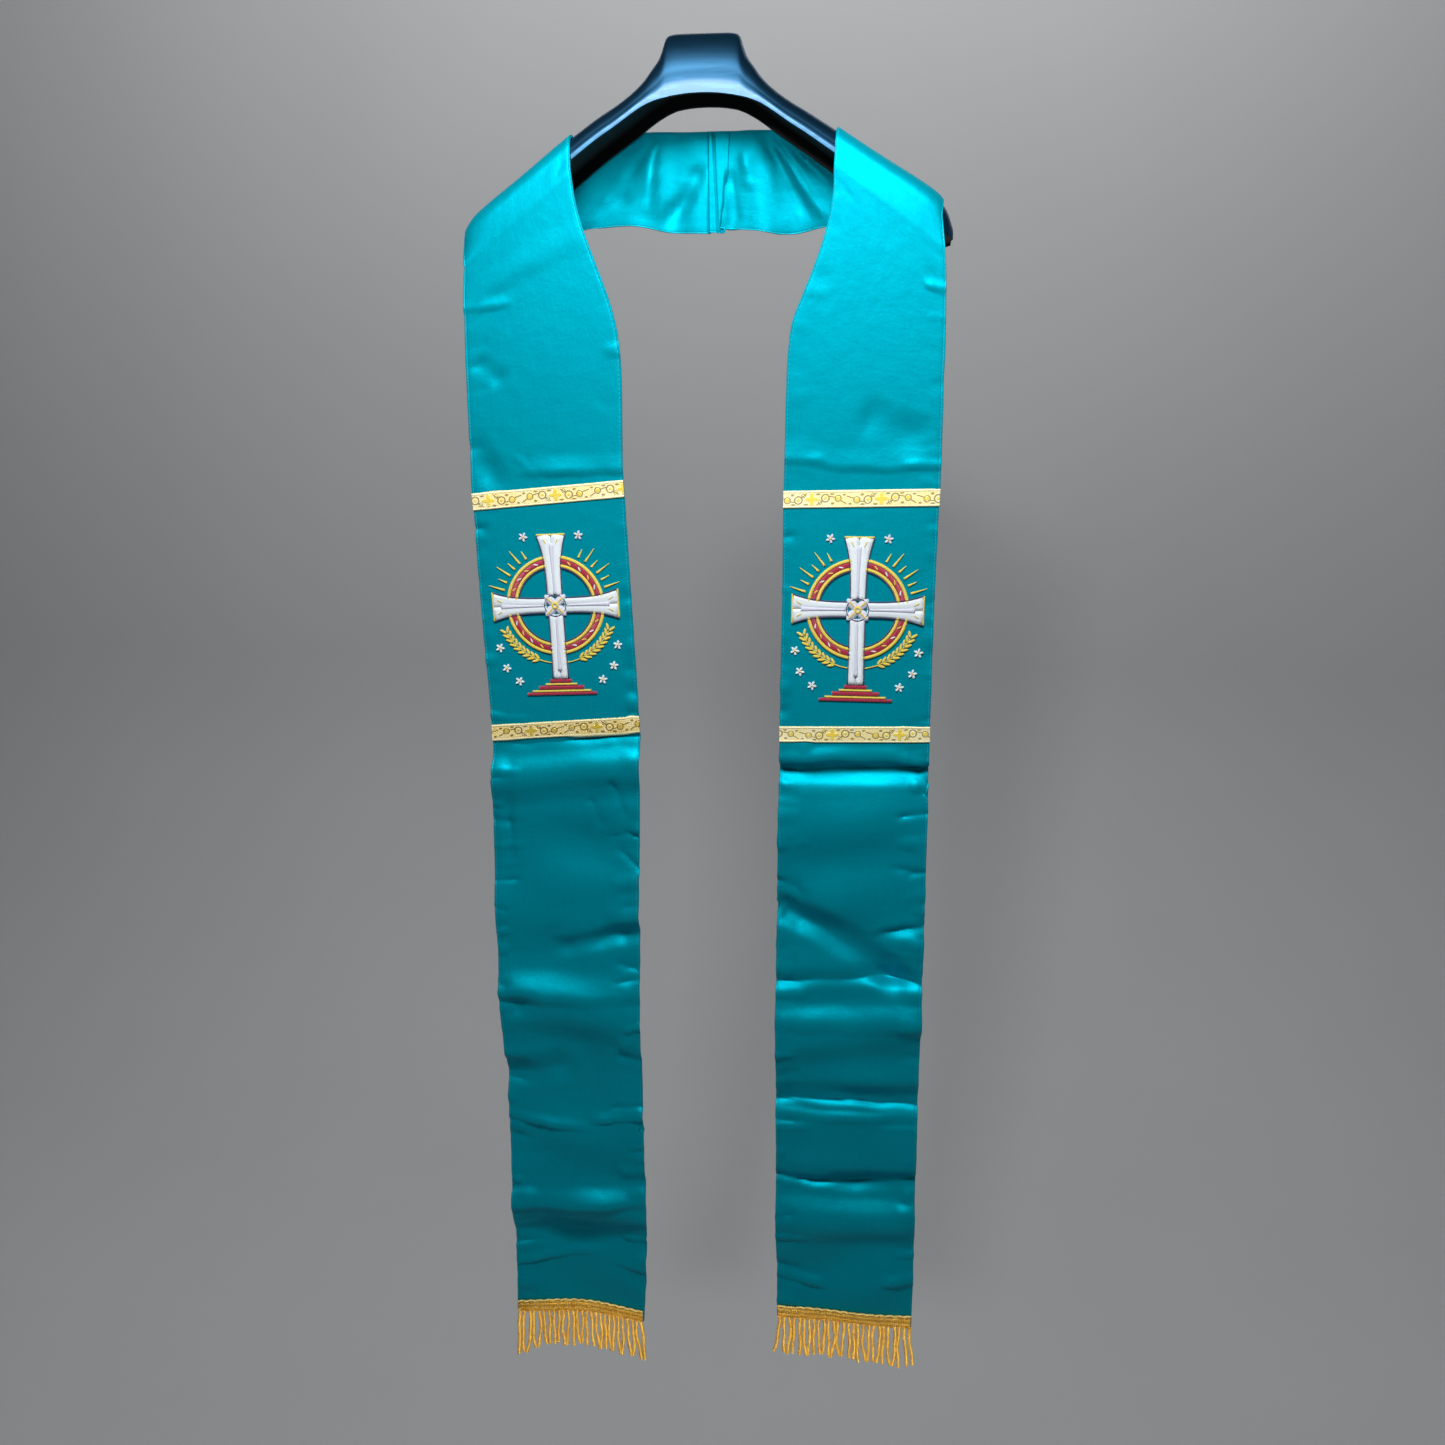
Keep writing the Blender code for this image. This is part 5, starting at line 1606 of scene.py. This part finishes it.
def hanger():
    """The broad moulded hanger with a blind hole for a hook's stem."""
    neck = np.arange(0.0, FINE_NECK, FINE_STEP)
    arm = np.arange(FINE_NECK, FINE_TIP, ARM_STEP)
    end = np.arange(FINE_TIP, LAST_STEP, FINE_STEP)
    half = np.concatenate([neck, arm, end, [ARM[-1].x]])
    places = np.concatenate([-half[:0:-1], half])
    rings, outside = hanger_rings(places)
    count, size = rings.shape[:2]
    faces = []
    for n in range(count - 1):
        for k in range(size):
            after = (k + 1) % size
            faces.append((n * size + k, n * size + after, (n + 1) * size + after, (n + 1) * size + k))
    faces.append(tuple(range(size)))
    faces.append(tuple(range((count - 1) * size, count * size)))
    plastics = [FINISHES["hanger"], FINISHES["channel"]]
    piece = mesh_object("moulded_hanger", rings.reshape(-1, 3), faces, plastics)
    inside = np.tile(np.arange(size) >= outside - 1, count - 1)
    piece.data.polygons.foreach_set("material_index", np.append(inside, [False, False]).astype(np.int32))
    hole = bmesh.new()
    bmesh.ops.create_cone(hole, cap_ends=True, segments=NECK_HOLE_SIDES, radius1=NECK_HOLE_RADIUS,
                          radius2=NECK_HOLE_RADIUS, depth=2 * NECK_HOLE_DEPTH)
    mesh = bpy.data.meshes.new("hook_hole")
    hole.to_mesh(mesh)
    hole.free()
    cutter = placed("hook_hole", mesh)
    cut = piece.modifiers.new("hook_hole", "BOOLEAN")
    cut.operation = "DIFFERENCE"
    cut.object = cutter
    result = modified_mesh(piece)
    piece.modifiers.clear()
    piece.data = result
    result.name = "moulded_hanger"
    bpy.data.objects.remove(cutter)
    result.shade_smooth()
    result.set_sharp_from_angle(angle=SHARP_EDGE)
    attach(piece, "root")
    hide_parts("hanger")


def camera():
    view = bpy.data.cameras.new("camera")
    view.lens = CAMERA_LENS
    view.sensor_width = CAMERA_SENSOR
    holder = placed("camera", view)
    holder.location = CAMERA_PLACE
    holder.rotation_euler = (CAMERA_PITCH, 0, CAMERA_YAW)
    bpy.context.scene.camera = holder


# The floor, which reaches in front of the camera, and the wall that it curves up into
FLOOR_HEIGHT = -1.62
FLOOR_FRONT = -4.0
WALL_PLACE = 1.7
WALL_CURVE = 0.8
WALL_TOP = 4.0
ROOM_HALF_WIDTH = 6.0
CURVE_STEPS = 12
BACKDROP = (0.55, 0.56, 0.57)


def room():
    """A plain pale floor that curves up into a plain wall."""
    profile = [(FLOOR_FRONT, FLOOR_HEIGHT)]
    for n in range(CURVE_STEPS + 1):
        angle = math.radians(90 * n / CURVE_STEPS)
        back = WALL_PLACE - WALL_CURVE + WALL_CURVE * math.sin(angle)
        profile.append((back, FLOOR_HEIGHT + WALL_CURVE * (1 - math.cos(angle))))
    profile.append((WALL_PLACE, WALL_TOP))
    points = [(x, y, z) for y, z in profile for x in (-ROOM_HALF_WIDTH, ROOM_HALF_WIDTH)]
    faces = [(2 * n, 2 * n + 1, 2 * n + 3, 2 * n + 2) for n in range(len(profile) - 1)]
    finish = Finish("backdrop_paper")
    grain = finish.noise(finish.object_place(), 2.5)
    paper = finish.set(base_color=finish.tint(BACKDROP, 0.97 + 0.06 * grain), roughness=0.9)
    mesh_object("backdrop", points, faces, [paper])


# Each lamp's place and aim, its size in metres, its power in watts and the pieces it leaves out
Light = namedtuple("Light", "name place target wide high power leaves_out")
PLAIN_CLOTH = ("satin", "top_stitching")
HANGER_AND_FACES = ("moulded", "satin_face")
ALL_PIECES = ("moulded", "satin", "brocade", "embroidery", "bullion", "top_stitching")
ALL_BUT_FRINGE = ("moulded", "satin", "brocade", "embroidery", "top_stitching", "backdrop")
LIGHTS = [
    Light("key", (0.03, -0.66, 0.30), (0.0, 0.0, -0.38), 0.60, 0.24, 13.6, ("moulded", "backdrop")),
    Light("softbox", (-0.35, -2.9, 0.67), (0.0, 0.0, -0.10), 0.50, 0.30, 26.0, PLAIN_CLOTH),
    Light("neck_light", (-0.04, -0.42, -0.17), (0.0, 0.04, -0.10), 0.16, 0.06, 0.45, HANGER_AND_FACES),
    Light("fringe_light", (0.30, -1.40, -0.55), (0.0, 0.0, -1.18), 0.50, 0.14, 10.0, ALL_BUT_FRINGE),
    Light("backdrop_light", (0.0, 0.3, 1.7), (0.0, 1.6, -0.6), 2.4, 0.6, 36.0, ALL_PIECES),
]
WORLD_COLOUR = (0.80, 0.90, 1.00, 1.0)
WORLD_STRENGTH = 0.020


def lights():
    """The lamps, each with the pieces that it lights, and the room's faint light."""
    for light in LIGHTS:
        lamp = bpy.data.lights.new(light.name, "AREA")
        lamp.shape = "RECTANGLE"
        lamp.size = light.wide
        lamp.size_y = light.high
        lamp.energy = light.power
        holder = placed(light.name, lamp)
        holder.location = light.place
        direction = Vector(light.target) - Vector(light.place)
        holder.rotation_euler = direction.to_track_quat("-Z", "Y").to_euler()
        lit = bpy.data.collections.new(light.name + "_lit")
        for piece in bpy.context.scene.objects:
            if piece.type == "MESH" and not piece.name.startswith(light.leaves_out):
                lit.objects.link(piece)
        holder.light_linking.receiver_collection = lit
    world = bpy.data.worlds.new("soft_room")
    world.use_nodes = True
    ground = world.node_tree.nodes["Background"]
    ground.inputs["Color"].default_value = WORLD_COLOUR
    ground.inputs["Strength"].default_value = WORLD_STRENGTH
    bpy.context.scene.world = world


def cut_area(side):
    """The flat area of one half, which is narrower behind the neck than in front."""
    grid = BANDS[side].sections(np.linspace(0, 1, 23))
    along = grid[1:, :-1] - grid[:-1, :-1]
    across = grid[:-1, 1:] - grid[:-1, :-1]
    return float(np.linalg.norm(np.cross(along, across), axis=-1).sum())


HALF_LENGTH = {side: band.hem - band.start for side, band in BANDS.items()}
CUT_AREA = {side: cut_area(side) for side in SIDES}

hanger()
for half_side in SIDES:
    satin_face, satin_lining = stole_half(half_side)
    tops = {"upper": UPPER_TRIM[half_side], "lower": LOWER_TRIM[half_side]}
    trims = [trim(half_side, place, top) for place, top in tops.items()]
    embroidery = emblem(half_side)
    bullion = fringe(half_side)
    stitching = top_stitching(half_side)
lap = centre_back_lap()

camera()
room()
lights()
bpy.context.scene.view_settings.view_transform = "Standard"
